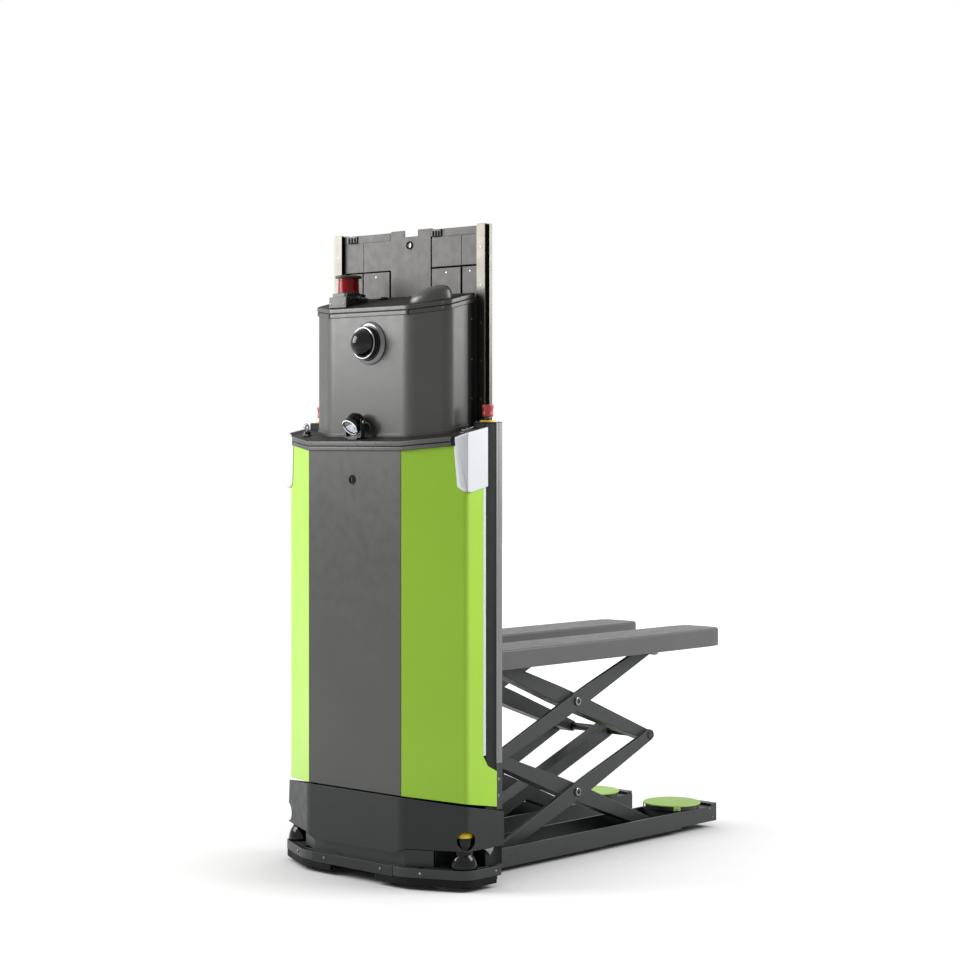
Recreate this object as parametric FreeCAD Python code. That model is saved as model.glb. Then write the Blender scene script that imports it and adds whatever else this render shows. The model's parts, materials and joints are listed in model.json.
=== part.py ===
"""Autonomous mobile robot with a double scissor fork lift.

Millimetres. +X runs from the tower towards the fork tips, +Z is up, and the floor is z = 0.
Stations along X are measured from the face of the front panel, and save() moves each
piece so that the origin is at the middle of the whole robot, on the floor.
"""
import FreeCAD
import Part
import math
import os

Vec = FreeCAD.Vector

# General clearances and sheet thicknesses
FIT = 0.05
RUN_GAP = 0.3
SEAM = 1.5
PANEL_T = 3.0
SHEET_T = 4.0
PLATE_T = 8.0

# Overall height, and how far the bumper stands out in front of the front panel
TOP_Z = 2062.0
BUMPER_OUT = 8.0

# Scissor: four equal arms a side, at rest near the top of the lift
ARM_LENGTH = 849.0
ARM_ANGLE = 21.0
PIVOT_X = 438.0
PIVOT_Z = 48.6
ARM_RUN = ARM_LENGTH * math.cos(math.radians(ARM_ANGLE))
ARM_RISE = ARM_LENGTH * math.sin(math.radians(ARM_ANGLE))
ROLLER_X = PIVOT_X + ARM_RUN
OUTER_ARM_Y = 215.0
OUTER_ARM_T = 14.0
INNER_ARM_Y = 198.0
INNER_ARM_T = 58.0
INNER_ARM_WALL = 6.0
INNER_ARM_SOLID = 45.0
ARM_MID_HALF = 28.0
ARM_SWELL = 76.0
ARM_END_R = 19.0
CENTRE_ARM_HALF_Y = 30.0
CENTRE_ARM_HALF_Z = 22.0
CENTRE_ARM_WALL = 5.0
CENTRE_ARM_SOLID = 40.0
PIN_R = 11.0
PIN_HEAD_R = 13.0
PIN_HEAD_T = 4.0
MID_TUBE_R = 13.0
ROLLER_R = 24.0
ROLLER_IN = 116.0
ROLLER_W = 20.0
ROLLER_SIDE_GAP = 2.0
AXLE_R = 9.0
AXLE_SKIN = 1.0

# Legs under the forks
LEG_X0 = 232.0
LEG_IN = 100.0
LEG_OUT = 278.0
LEG_WALL = 8.0
LEG_LOW_Z = 24.0
LEG_DEEP_Z = 16.0
LEG_TOP_Z = 78.0
LEG_FLOOR_T = 6.0
LEG_JOG_X = 900.0
LEG_JOG_RUN = 100.0
ROLLER_TO_LID = 87.4
LEG_LID_X = ROLLER_X + ROLLER_TO_LID
LID_TO_TABLE = 71.0
TABLE_TO_END = 133.0
LEG_X1 = LEG_LID_X + LID_TO_TABLE + TABLE_TO_END
END_BLOCK_LONG = 24.0
END_BLOCK_TOP_Z = 87.0

# Rear steering turntables, with their wheels under the leg ends
TABLE_X = LEG_LID_X + LID_TO_TABLE
TABLE_Y = 186.0
TABLE_R = 101.5
TABLE_TOP_Z = 98.6
TABLE_T = 6.0
TABLE_HUB_R = 58.0
TABLE_CHAMFER = 2.0
TAB_HALF = 12.0
TAB_DROP = 10.0
TAB_DEEP = 5.0
TAB_ANGLES = (132.0, 228.0)
REAR_WHEEL_R = 42.0
REAR_WHEEL_W = 36.0
REAR_AXLE_R = 8.0
REAR_YOKE_HALF_X = 16.0
REAR_YOKE_GAP = 3.0
REAR_WHEEL_SPARE = 6.0
YOKE_T = 6.0

# Forks and the carriage that rises with them
FORK_IN = 97.0
FORK_OUT = 280.0
FORK_OVER_PIN = 53.9
FORK_TOP_Z = PIVOT_Z + 2.0 * ARM_RISE + FORK_OVER_PIN
FORK_HEIGHT = 63.6
FORK_TOP_T = 10.0
FORK_SKIRT_T = 8.0
FORK_EDGE_R = 7.0
FORK_ROOT_X = 260.0
FORK_PAST_LEG = 50.0
FORK_TIP_X = LEG_X1 + FORK_PAST_LEG
FORK_NOSE = 21.0
FORK_NOSE_LEAD = 60.0
FORK_NOSE_TAPER = 30.0
FORK_SOLID_ROOT = 60.0
FORK_SOLID_NOSE = 20.0
LUG_T = 18.0
TRACK_LEAD = 60.0
TRACK_TAIL = 40.0
HEEL_INSET = 30.0
HEEL_TO_BRACKET = 13.0
HEEL_RISE = 130.0
HEEL_STEP_X = 34.0
HEEL_STEP_Z = 60.0
HEEL_LOW = 8.0
BACK_X = 250.0
BACK_T = 8.0
BACK_FOOT_DROP = 71.0
BACK_LOW_Z = FORK_TOP_Z - BACK_FOOT_DROP
BACK_WING_DROP = 4.0
BACK_CROWN_LEFT = 86.0
BACK_CROWN_RIGHT = 98.0
NOTCH_LEFT = 27.0
NOTCH_RIGHT = 36.0
NOTCH_DEPTH = 21.0
LIFT_HOLE_DROP = 49.0
LIFT_HOLE_R = 10.0

# The origin is half way between the bumper's face and the fork tips
PANEL_X = -(FORK_TIP_X - BUMPER_OUT) / 2.0

# Tower plan: a flat front, two chamfered corners and two flat sides
FRONT_HALF = 208.0
SIDE_HALF = 400.0
FOLD_X = 94.0
TOWER_REAR_X = 234.0
DECK_SLOPE = 0.21
PANEL_FOOT_Z = 285.0
PANEL_FOOT_FALL = 0.17

# Lower skirt and bumper
SKIRT_OUT = 5.0
SKIRT_TOP_Z = 280.0
SKIRT_FALL = 0.20
SKIRT_FOOT_Z = 107.0
SKIRT_HEM_Z = 124.0
SKIRT_STEP_MARGIN = 28.0
SKIRT_STEP_RUN = 46.0
SKIRT_STEP_IN = FRONT_HALF - SKIRT_STEP_MARGIN
SKIRT_STEP_OUT = SKIRT_STEP_IN + SKIRT_STEP_RUN
SKIRT_REAR_X = 257.0
BUMPER_FRONT_MARGIN = 18.0
BUMPER_MARGIN = 16.0
BUMPER_FRONT_HALF = FRONT_HALF + BUMPER_FRONT_MARGIN
BUMPER_HALF = SIDE_HALF + BUMPER_MARGIN
BUMPER_T = 16.0
BUMPER_CORNER_R = 12.0
BUMPER_LOW_Z = 14.0
BUMPER_TOP_Z = 66.0
STRIP_LOW_Z = 35.0
STRIP_HALF = 100.0

# Chassis in the foot of the tower
FLOOR_PLATE_Z = 58.0
FLOOR_PLATE_T = 8.0
BEAM_X = 190.0
BEAM_LOW_Z = 20.0
BEAM_TOP_Z = 90.0
POST = 40.0
FRONT_POST_X = 20.0
FRONT_POST_Y = FRONT_HALF - 8.0
POST_TO_MAST = 9.0
BRIDGE_Z = 162.0
BRIDGE_T = 10.0
SHELF_Z = 560.0
SILL_INSET = 20.0
SILL_T = 4.0
SILL_TOP_Z = 118.0
SILL_END_X = 62.0

# Front drive modules in the tower foot
DRIVE_X = 110.0
DRIVE_Y = 190.0
DRIVE_BAY_HALF = 80.0
BAY_WALL_X = DRIVE_X - 30.0
FRONT_WHEEL_R = 70.0
FRONT_WHEEL_W = 45.0
FRONT_AXLE_R = 12.0
FRONT_YOKE_TOP_Z = 156.0
FRONT_YOKE_R = 60.0
FRONT_YOKE_HALF_X = 22.0
FRONT_YOKE_GAP = 4.0
KINGPIN_R = 20.0
TYRE_SHOULDER_R = 5.0
RIM_SHARE = 0.68
RIM_DEEP = 5.0
BOSS_SHARE = 1.9

# Mast channels beside the tower
MAST_X0 = 181.0
MAST_X1 = TOWER_REAR_X + 24.0
MAST_OUT = SIDE_HALF - 4.0
MAST_WIDE = 51.0
MAST_IN = MAST_OUT - MAST_WIDE
MAST_WALL = 5.0
MAST_CAP_T = 6.0
GUIDE_LONG = 80.0
GUIDE_DEEP = 15.0
REAR_POST_Y = MAST_IN - POST_TO_MAST - POST

# Green side panels: line of the rear edge with its low tab
PANEL_EDGE_X = MAST_X0 - 13.0
TAB_TOP_Z = 409.0
TAB_STEP_LONG = 20.0
TAB_STEP_FALL = 32.0
TAB_END_FALL = 54.0
TAB_X = TOWER_REAR_X - 4.0

# Deck that closes the tower
DECK_OUT = 5.0
DECK_Z = 1380.0
DECK_T = 30.0
MAST_TOP_Z = DECK_Z + 60.0
LOW_GUIDE_Z = 740.0
HIGH_GUIDE_Z = MAST_TOP_Z - 110.0
LIGHT_IN_X = MAST_X0 - 12.5
LIGHT_OUT = SIDE_HALF - 1.0
LIGHT_T = 8.0

# White fairings over the upper corners
FAIRING_GAP = 0.5
FAIRING_T = 8.0
FAIRING_DROP = 140.0
FAIRING_BELLY = 17.0

# Rails of the backrest, which run in the mast channels
RAIL_X0 = TOWER_REAR_X + 4.0
RAIL_DEEP = 35.0
RAIL_WIDE = 36.0
RAIL_OUT = MAST_IN - 4.0
RAIL_IN = RAIL_OUT - RAIL_WIDE
RAIL_FOOT_DROP = 40.0
RAIL_LOW_Z = BACK_LOW_Z - RAIL_FOOT_DROP
RAIL_WALL = 5.0
BACK_HALF = RAIL_IN - 2.0
BRACKET_HIGH = 50.0
BRACKET_LONG = 40.0
BRACKET_FOOT = 160.0
BRACKET_LOW_Z = RAIL_LOW_Z + BRACKET_FOOT
BRACKET_TOP_DROP = 102.0
CLIP_T = 5.0
CLIP_WING_GAP = 15.0
CLIP_WING_LONG = 48.0
CLIP_CROWN_GAP = 2.0
CLIP_CROWN_LONG = 43.0
CLIP_DROP = 27.0
CLIP_LIFT = 1.0

# Head on the deck
HEAD_X = 62.0
HEAD_FRONT_INSET = 31.0
HEAD_FRONT_HALF = FRONT_HALF - HEAD_FRONT_INSET
HEAD_INSET = 100.0
HEAD_HALF = SIDE_HALF - HEAD_INSET
HEAD_CORNER_R = 30.0
HEAD_FOLD_R = 12.0
HEAD_FRAME_LONG = 29.0
HEAD_SHELL_X = TOWER_REAR_X - HEAD_FRAME_LONG
HEAD_REAR_X = TOWER_REAR_X
HEAD_T = 4.0
CAP_OUT = 1.5
HEAD_HIGH = 395.0
CAP_Z = DECK_Z + HEAD_HIGH
CAP_T = 30.0
CAP_SLOPE = 0.24
CAP_RIM = 12.0

# Bulge on the cap
BULGE_X = 135.0
BULGE_INSET = 92.0
BULGE_Y = -(HEAD_HALF - BULGE_INSET)
BULGE_LONG = 70.0
BULGE_WIDE = 44.0
BULGE_HIGH = 46.0

# Dome camera in the face of the head
CAMERA_Y = -9.0
CAMERA_Z = CAP_Z - 85.0
CAMERA_FLANGE_R = 69.0
CAMERA_FLANGE_T = 10.0
CAMERA_R = 52.0
CAMERA_REACH = 33.0
CAMERA_RING_T = 5.0
CAMERA_GLASS_R = 44.0
CAMERA_GLASS_RISE = 20.0
CAMERA_LIP = 6.0

# Navigation scanner on the cap
LIDAR_X = 130.0
LIDAR_Y = HEAD_HALF - 140.0
LIDAR_LONG = 99.0
LIDAR_WIDE = 79.0
LIDAR_INSET = 5.0
LIDAR_CORNER_R = 12.0
LIDAR_BODY_Z = CAP_Z + 82.0
LIDAR_WINDOW_R = 33.0
LIDAR_WINDOW_T = 3.0
LIDAR_WINDOW_Z = LIDAR_BODY_Z + 49.0
LIDAR_CAP_R = 41.0
LIDAR_CAP_T = 10.0
LIDAR_CAP_EDGE_R = 3.0
LIDAR_ROTOR_R = 24.0
LIDAR_ROTOR_GAP = 6.0
LIDAR_ROTOR_FLAT = 15.0
LIDAR_SPINDLE_R = 4.0
PLUG_R = 7.0
PLUG_LONG = 16.0
PLUG_DROP = 3.0

# Work light on the deck
LIGHT_X = 31.0
LIGHT_Y = 27.0
LIGHT_Z = DECK_Z + 60.0
LIGHT_R = 28.0
LIGHT_LEN = 52.0
LIGHT_BACK_R = 20.0
LIGHT_TILT = 38.0
LENS_R = 25.0
LENS_T = 4.0
LENS_INSET = 2.0
LIGHT_RECESS = 8.0
LIGHT_PIVOT_R = 5.0
EAR_GAP = 4.0
EAR_T = 4.0
EAR_HALF = 9.0
EAR_RISE = 10.0
EAR_PIN_IN = 9.0
EAR_PIN_OUT = 8.0
FOOT_HALF = 12.0
FOOT_LIFT = 3.0
PAD_HALF_X = 14.0
PAD_HALF_Y = 20.0

# Leads of the scanner and the work light, and where they enter the covers
SCANNER_LEAD_D = 5.0
LIGHT_LEAD_D = 4.0
ENTRY_X = 186.0
ENTRY_Y = 61.0
ENTRY_LONG = 18.0
ENTRY_HALF = 9.0
ENTRY_HIGH = 11.0
COLLAR_X = 46.0
COLLAR_Y = -26.0
COLLAR_R = 5.5
COLLAR_LIFT = 15.0

# Stop buttons, key switch and panel lock
STOP_LEAD = 35.0
STOP_X = MAST_X0 + STOP_LEAD
STOP_SHIFT = 3.0
STOP_Y = (MAST_IN + MAST_OUT) / 2.0 + STOP_SHIFT
STOP_COLLAR_R = 22.0
STOP_COLLAR_T = 4.0
STOP_NECK_R = 12.0
STOP_NECK_H = 12.0
STOP_CAP_R = 19.0
STOP_CAP_H = 38.0
STOP_CAP_EDGE_R = 4.0
STOP_STEM_R = 6.0
STOP_TRAVEL = 4.0
KEY_X = 75.0
KEY_Y = SIDE_HALF - 102.0
KEY_BODY_R = 14.0
KEY_BODY_H = 14.0
KEY_STEM_R = 4.0
KEY_BOW_HALF = 12.0
KEY_BOW_HIGH = 22.0
KEY_T = 4.0
KEY_DEPTH = 10.0
LOCK_Y = 8.0
LOCK_Z = DECK_Z - 121.0
LOCK_R = 15.0
LOCK_T = 9.0
LOCK_PROUD = 3.0
LOCK_SLOT_HALF = 6.0
LOCK_SLOT_W = 3.0
LOCK_SLOT_DEEP = 2.0
CAM_HALF = 8.0
CAM_LONG = 30.0
CAM_T = 3.0

# Corner safety scanners
GUARD_LEAD = 21.0
GUARD_INSET = 34.0
GUARD_X = FOLD_X + GUARD_LEAD
GUARD_Y = SIDE_HALF - GUARD_INSET
GUARD_BODY_R = 44.0
GUARD_BODY_H = 50.0
GUARD_BODY_EDGE_R = 8.0
GUARD_HEAD_R = 29.0
GUARD_HEAD_TOP_Z = 162.0
GUARD_CAP_INSET = 1.0
GUARD_CAP_T = 20.0
GUARD_CAP_EDGE_R = 6.0
GUARD_PORT_R = 29.0
GUARD_PORT_Z = 156.0

# Battery, controller and lift drive
BATTERY_H = 300.0
BATTERY_GAP = 5.0
BATTERY_INSET = 10.0
POLE_R = 9.0
POLE_H = 17.0
CONTROLLER_H = 340.0
CONTROLLER_HALF = 150.0
CONTROLLER_INSET = 20.0
FIN_COUNT = 9
FIN_T = 6.0
FIN_H = 22.0
DRIVE_MOTOR_R = 27.0
DRIVE_MOTOR_Y = 64.0
GEARBOX_LEAD = 46.0
GEARBOX_TAIL = 32.0
GEARBOX_HALF_Y = 29.0
GEARBOX_HALF_Z = 28.0

# Length past the robot on every side, for the tools that cut it
FAR = 2.0 * TOP_Z


def block(x0, x1, y0, y1, z0, z1):
    """A box between two corners, given in any order along Y."""
    low, high = sorted((y0, y1))
    return Part.makeBox(x1 - x0, high - low, z1 - z0, Vec(x0, low, z0))


def rod(x, y, z, radius, length, axis=(0, 0, 1)):
    """A round bar that starts at a point and runs along an axis."""
    return Part.makeCylinder(radius, length, Vec(x, y, z), Vec(*axis))


def cross_rod(x, z, radius, y0, y1):
    """A round bar along Y from y0 to y1."""
    return rod(x, min(y0, y1), z, radius, abs(y1 - y0), (0, 1, 0))


def wheel_rod(x, y, z, radius, width):
    """A round bar along Y, centred on a point."""
    return cross_rod(x, z, radius, y - width / 2.0, y + width / 2.0)


def loop(points):
    """A closed wire through the given points."""
    corners = [Vec(*point) for point in points]
    return Part.makePolygon(corners + corners[:1])


def plan_prism(points, z0, z1):
    """A solid from a plan outline, between two heights."""
    face = Part.Face(loop([(x, y, z0) for x, y in points]))
    return face.extrude(Vec(0, 0, z1 - z0))


def side_prism(points, y0, y1):
    """A solid from a side outline in X and Z, between two values of Y."""
    low = min(y0, y1)
    face = Part.Face(loop([(x, low, z) for x, z in points]))
    return face.extrude(Vec(0, abs(y1 - y0), 0))


def front_prism(points, x0, x1):
    """A solid from an outline in Y and Z, between two stations."""
    face = Part.Face(loop([(x0, y, z) for y, z in points]))
    return face.extrude(Vec(x1 - x0, 0, 0))


def above(x, z, slope):
    """Everything above a plane through a point, which rises towards the rear."""
    low, high = (x - FAR, z - slope * FAR), (x + FAR, z + slope * FAR)
    return side_prism([low, high, (high[0], high[1] + FAR), (low[0], low[1] + 2.0 * FAR)], -FAR, FAR)


def below(x, z, slope):
    """Everything below a plane through a point, which rises towards the rear."""
    low, high = (x - FAR, z - slope * FAR), (x + FAR, z + slope * FAR)
    return side_prism([low, high, (high[0], high[1] - 2.0 * FAR), (low[0], low[1] - FAR)], -FAR, FAR)


def fuse(shapes):
    """Joins touching solids into one clean solid."""
    whole = shapes[0].multiFuse(shapes[1:]) if len(shapes) > 1 else shapes[0]
    return whole.removeSplitter()


def mirrored(shape):
    """The same shape on the other side of the robot."""
    return shape.mirror(Vec(0, 0, 0), Vec(0, 1, 0))


def both(shape):
    """A shape and its mirror image."""
    return [shape, mirrored(shape)]


def cut_all(shape, tools):
    """A shape less each of the tools."""
    for tool in tools:
        shape = shape.cut(tool)
    return shape


def fillet_vertical(shape, radius, near):
    """Rounds the upright edges whose middle passes the given test."""
    edges = []
    for edge in shape.Edges:
        ends = [vertex.Point for vertex in edge.Vertexes]
        if len(ends) != 2:
            continue
        run = ends[1] - ends[0]
        if abs(run.z) > 0.999 * run.Length and near(edge.CenterOfMass):
            edges.append(edge)
    return shape.makeFillet(radius, edges)


def top_edges(shape):
    """The edges at the very top of a shape."""
    return [edge for edge in shape.Edges if edge.BoundBox.ZMin > shape.BoundBox.ZMax - FIT]


def lead(points, diameter):
    """A cable along a route: straight runs, joined by arcs as large as the runs allow."""
    route = [Vec(*point) for point in points]
    edges = []
    here = route[0]
    for before, corner, after in zip(route, route[1:], route[2:]):
        coming = (corner - before).normalize()
        going = (after - corner).normalize()
        turn = coming.getAngle(going)
        reach = 0.45 * min((corner - before).Length, (after - corner).Length)
        radius = reach / math.tan(turn / 2.0)
        start = corner - coming * reach
        end = corner + going * reach
        inward = (going - coming).normalize()
        middle = corner + inward * (radius / math.cos(turn / 2.0) - radius)
        edges.append(Part.LineSegment(here, start).toShape())
        edges.append(Part.Arc(start, middle, end).toShape())
        print("  bend radius %5.1f at a diameter of %.1f" % (radius, diameter))
        here = end
    edges.append(Part.LineSegment(here, route[-1]).toShape())
    path = Part.Wire(edges)
    section = Part.Wire(Part.makeCircle(diameter / 2.0, route[0], route[1] - route[0]))
    tube = path.makePipeShell([section], True, True)
    share = tube.Volume / (math.pi * diameter ** 2 / 4.0 * path.Length)
    print("  length %.1f, volume over section times length %.4f" % (path.Length, share))
    return tube


def save(name, shapes):
    """Moves solids to the robot's origin and writes them as one STEP file."""
    solids = []
    for shape in shapes:
        solids.extend(shape.Solids)
    whole = solids[0] if len(solids) == 1 else Part.Compound(solids)
    whole = whole.copy()
    whole.translate(Vec(PANEL_X, 0, 0))
    whole.exportStep("parts/" + name + ".step")
    print("%-24s %2d solids %10.1f cm3" % (name, len(solids), whole.Volume / 1000.0))


def corner_plan(front, front_half, half, rear, grow=0.0):
    """Plan outline with chamfered front corners, moved outwards by grow."""
    lean = math.atan2(FOLD_X, SIDE_HALF - FRONT_HALF)
    fold = front + (half - front_half) * math.tan(lean)
    front_half = front_half + grow * math.tan(lean / 2.0)
    fold = fold - grow * math.tan((math.pi / 2.0 - lean) / 2.0)
    half = half + grow
    front = front - grow
    right = [(front, -front_half), (fold, -half), (rear, -half)]
    left = [(rear, half), (fold, half), (front, front_half)]
    return right + left


def tower_plan(grow, rear):
    """Plan outline of the tower, moved outwards by grow."""
    return corner_plan(0.0, FRONT_HALF, SIDE_HALF, rear, grow)


def bumper_plan(grow, rear):
    """Plan outline of the bumper, moved outwards by grow."""
    return corner_plan(-BUMPER_OUT, BUMPER_FRONT_HALF, BUMPER_HALF, rear, grow)


def tower_wall(grow, thickness, rear, z0, z1):
    """An upright wall round the front and sides of the tower, open at the rear."""
    outer = plan_prism(tower_plan(grow, rear), z0, z1)
    inner = plan_prism(tower_plan(grow - thickness, rear + thickness), z0 - SEAM, z1 + SEAM)
    return outer.cut(inner)


def deck_height(x):
    """Height of the deck's top face at a station."""
    return DECK_Z + DECK_SLOPE * (x + DECK_OUT)


def cap_height(x):
    """Height of the top face of the head's cap at a station."""
    return CAP_Z + CAP_T + CAP_SLOPE * (x - HEAD_X)


def above_deck():
    return above(0.0, deck_height(0.0), DECK_SLOPE)


def below_deck(drop=0.0):
    return below(0.0, deck_height(0.0) - drop, DECK_SLOPE)


def above_cap(drop=0.0):
    return above(0.0, cap_height(0.0) - drop, CAP_SLOPE)


def below_cap(drop=0.0):
    return below(0.0, cap_height(0.0) - drop, CAP_SLOPE)


# Chassis

def make_floor_plates():
    """The floor of the tower, laid out as plates round the two wheel bays."""
    low = FLOOR_PLATE_Z
    high = FLOOR_PLATE_Z + FLOOR_PLATE_T
    plan = plan_prism(bumper_plan(-BUMPER_T, BEAM_X), low, high)
    bay_x = (DRIVE_X - DRIVE_BAY_HALF, BEAM_X)
    bay_y = (DRIVE_Y - DRIVE_BAY_HALF, DRIVE_Y + DRIVE_BAY_HALF)
    plates = [plan.common(block(-FAR, FAR, -bay_y[0], bay_y[0], low, high))]
    for side in (1, -1):
        plates.append(plan.common(block(-FAR, bay_x[0], side * bay_y[0], side * bay_y[1], low, high)))
        plates.append(plan.common(block(-FAR, FAR, side * bay_y[1], side * FAR, low, high)))
    return plates


def make_wheel_bays():
    """A bridge over each front wheel, which carries its kingpin and the skirt, and two walls."""
    bays = []
    foot = FLOOR_PLATE_Z + FLOOR_PLATE_T
    for side in (1, -1):
        inner = side * (DRIVE_Y - DRIVE_BAY_HALF - PLATE_T)
        outer = side * (DRIVE_Y + DRIVE_BAY_HALF + PLATE_T)
        bridge = block(FRONT_POST_X, BEAM_X, inner, outer, BRIDGE_Z, BRIDGE_Z + BRIDGE_T)
        bridge = bridge.common(plan_prism(tower_plan(SKIRT_OUT - SHEET_T, BEAM_X), 0.0, FAR))
        kingpin = rod(DRIVE_X, side * DRIVE_Y, 0.0, KINGPIN_R + FIT, FAR)
        bays.append(bridge.cut(kingpin))
        bays.append(block(DRIVE_X - DRIVE_BAY_HALF + PLATE_T, BEAM_X, inner, inner + side * PLATE_T,
                          foot, BRIDGE_Z))
        bays.append(block(BAY_WALL_X, BEAM_X, outer - side * PLATE_T, outer, foot, BRIDGE_Z))
    return bays


def make_base_frame():
    foot = FLOOR_PLATE_Z + FLOOR_PLATE_T
    solids = make_floor_plates() + make_wheel_bays()
    rear_x = TOWER_REAR_X - SHEET_T
    solids.append(block(BEAM_X, LEG_X0, -LEG_OUT, LEG_OUT, foot, BEAM_TOP_Z))
    solids.append(block(BEAM_X, LEG_X0, -BUMPER_HALF + BUMPER_T, BUMPER_HALF - BUMPER_T,
                        BEAM_LOW_Z, foot))
    shelf_y = FRONT_POST_Y + POST
    post_top = deck_height(FRONT_POST_X) - SHEET_T
    solids.append(block(FRONT_POST_X, rear_x, -shelf_y, shelf_y, SHELF_Z, SHELF_Z + PLATE_T))
    for side in (1, -1):
        for z0, z1 in ((BRIDGE_Z + BRIDGE_T, SHELF_Z), (SHELF_Z + PLATE_T, post_top)):
            solids.append(block(FRONT_POST_X, FRONT_POST_X + POST, side * FRONT_POST_Y,
                                side * shelf_y, z0, z1))
        solids.append(block(BEAM_X, rear_x, side * REAR_POST_Y, side * (REAR_POST_Y + POST), foot,
                            deck_height(BEAM_X) - SHEET_T))
        solids.append(block(BEAM_X, rear_x, side * shelf_y, side * REAR_POST_Y, SHELF_Z, SHELF_Z + PLATE_T))
    return solids + make_sill()


def make_sill():
    """The low plinth walls that show between the skirt and the bumper."""
    foot = FLOOR_PLATE_Z + FLOOR_PLATE_T
    wall = tower_wall(-SILL_INSET, SILL_T, BEAM_X, foot, SILL_TOP_Z)
    half = FRONT_HALF - SILL_T
    front = wall.common(block(-FAR, SILL_END_X, -half, half, foot, SILL_TOP_Z))
    return [front] + both(wall.common(block(-FAR, SILL_END_X, half, FAR, foot, SILL_TOP_Z)))


def make_legs():
    low_edge = [(LEG_X0, LEG_DEEP_Z), (LEG_JOG_X, LEG_DEEP_Z), (LEG_JOG_X + LEG_JOG_RUN, LEG_LOW_Z)]
    outer = low_edge + [(LEG_X1, LEG_LOW_Z), (LEG_X1, LEG_TOP_Z), (LEG_X0, LEG_TOP_Z)]
    walls = [side_prism(outer, LEG_OUT - LEG_WALL, LEG_OUT), side_prism(outer, LEG_IN, LEG_IN + LEG_WALL)]
    floor_top = PIVOT_Z - ROLLER_R - RUN_GAP
    walls.append(block(LEG_X0, LEG_LID_X, LEG_IN, LEG_OUT, floor_top - LEG_FLOOR_T, floor_top))
    walls.append(block(LEG_LID_X, LEG_X1, LEG_IN, LEG_OUT, LEG_TOP_Z - LEG_FLOOR_T, LEG_TOP_Z))
    walls.append(block(LEG_X0, LEG_X0 + LEG_WALL, LEG_IN, LEG_OUT, LEG_DEEP_Z, LEG_TOP_Z))
    walls.append(block(LEG_LID_X, LEG_LID_X + LEG_WALL, LEG_IN, LEG_OUT,
                       floor_top - LEG_FLOOR_T, LEG_TOP_Z))
    leg = fuse(walls)
    leg = leg.cut(rod(TABLE_X, TABLE_Y, 0.0, TABLE_HUB_R + FIT, FAR))
    leg = leg.cut(cross_rod(PIVOT_X, PIVOT_Z, PIN_R + FIT, 0.0, FAR))
    end = [(LEG_X1 - END_BLOCK_LONG, LEG_TOP_Z + RUN_GAP), (LEG_X1 - END_BLOCK_LONG, END_BLOCK_TOP_Z),
           (LEG_X1 + PLATE_T, END_BLOCK_TOP_Z), (LEG_X1 + PLATE_T, LEG_LOW_Z),
           (LEG_X1 + RUN_GAP, LEG_LOW_Z), (LEG_X1 + RUN_GAP, LEG_TOP_Z + RUN_GAP)]
    return both(leg) + both(side_prism(end, LEG_IN + LEG_WALL, LEG_OUT))


def make_bumper_strip():
    return [block(-BUMPER_OUT, BUMPER_T - BUMPER_OUT, -STRIP_HALF + SEAM, STRIP_HALF - SEAM,
                  STRIP_LOW_Z, BUMPER_TOP_Z)]


def make_bumper_corners():
    ring = plan_prism(bumper_plan(0.0, LEG_X0), BUMPER_LOW_Z, BUMPER_TOP_Z)
    ring = ring.cut(plan_prism(bumper_plan(-BUMPER_T, LEG_X0 + SEAM), 0.0, FAR))
    corner = ring.common(block(-FAR, FAR, STRIP_HALF, FAR, 0.0, FAR))
    front_x = SEAM - BUMPER_OUT
    corner = fillet_vertical(corner, BUMPER_CORNER_R, lambda point:
                             point.x < front_x and point.y > BUMPER_FRONT_HALF - SEAM
                             or point.y > BUMPER_HALF - SEAM and point.x < DRIVE_X)
    return both(corner)


def make_skirt():
    """The skirt: a hem that steps up beside the front, and a round port over each low scanner."""
    wall = tower_wall(SKIRT_OUT, SHEET_T, SKIRT_REAR_X, 0.0, FAR)
    wall = wall.cut(above(0.0, SKIRT_TOP_Z, -SKIRT_FALL))
    hem = [(-SKIRT_STEP_OUT, SKIRT_HEM_Z), (-SKIRT_STEP_IN, SKIRT_FOOT_Z),
           (SKIRT_STEP_IN, SKIRT_FOOT_Z), (SKIRT_STEP_OUT, SKIRT_HEM_Z)]
    under = [(FAR, SKIRT_HEM_Z), (FAR, -SEAM), (-FAR, -SEAM), (-FAR, SKIRT_HEM_Z)]
    wall = wall.cut(front_prism(hem + under, -FAR, FAR))
    outward = (FOLD_X - GUARD_X, SIDE_HALF - GUARD_Y, 0.0)
    return [cut_all(wall, both(rod(GUARD_X, GUARD_Y, GUARD_PORT_Z, GUARD_PORT_R, FAR, outward)))]


# Panels of the tower

def panel_ring():
    """The wall that the front panel and both side panels are cut from."""
    wall = tower_wall(0.0, PANEL_T, TAB_X, 0.0, FAR)
    wall = wall.cut(above(0.0, deck_height(0.0) - DECK_T, DECK_SLOPE))
    return wall.cut(below(0.0, PANEL_FOOT_Z, -PANEL_FOOT_FALL))


def make_front_panel():
    half = FRONT_HALF - SEAM / 2.0
    panel = panel_ring().common(block(-SEAM, FOLD_X, -half, half, 0.0, FAR))
    return [panel.cut(rod(-SEAM, LOCK_Y, LOCK_Z, LOCK_R + FIT, PANEL_T + 2.0 * SEAM, (1, 0, 0)))]


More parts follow.
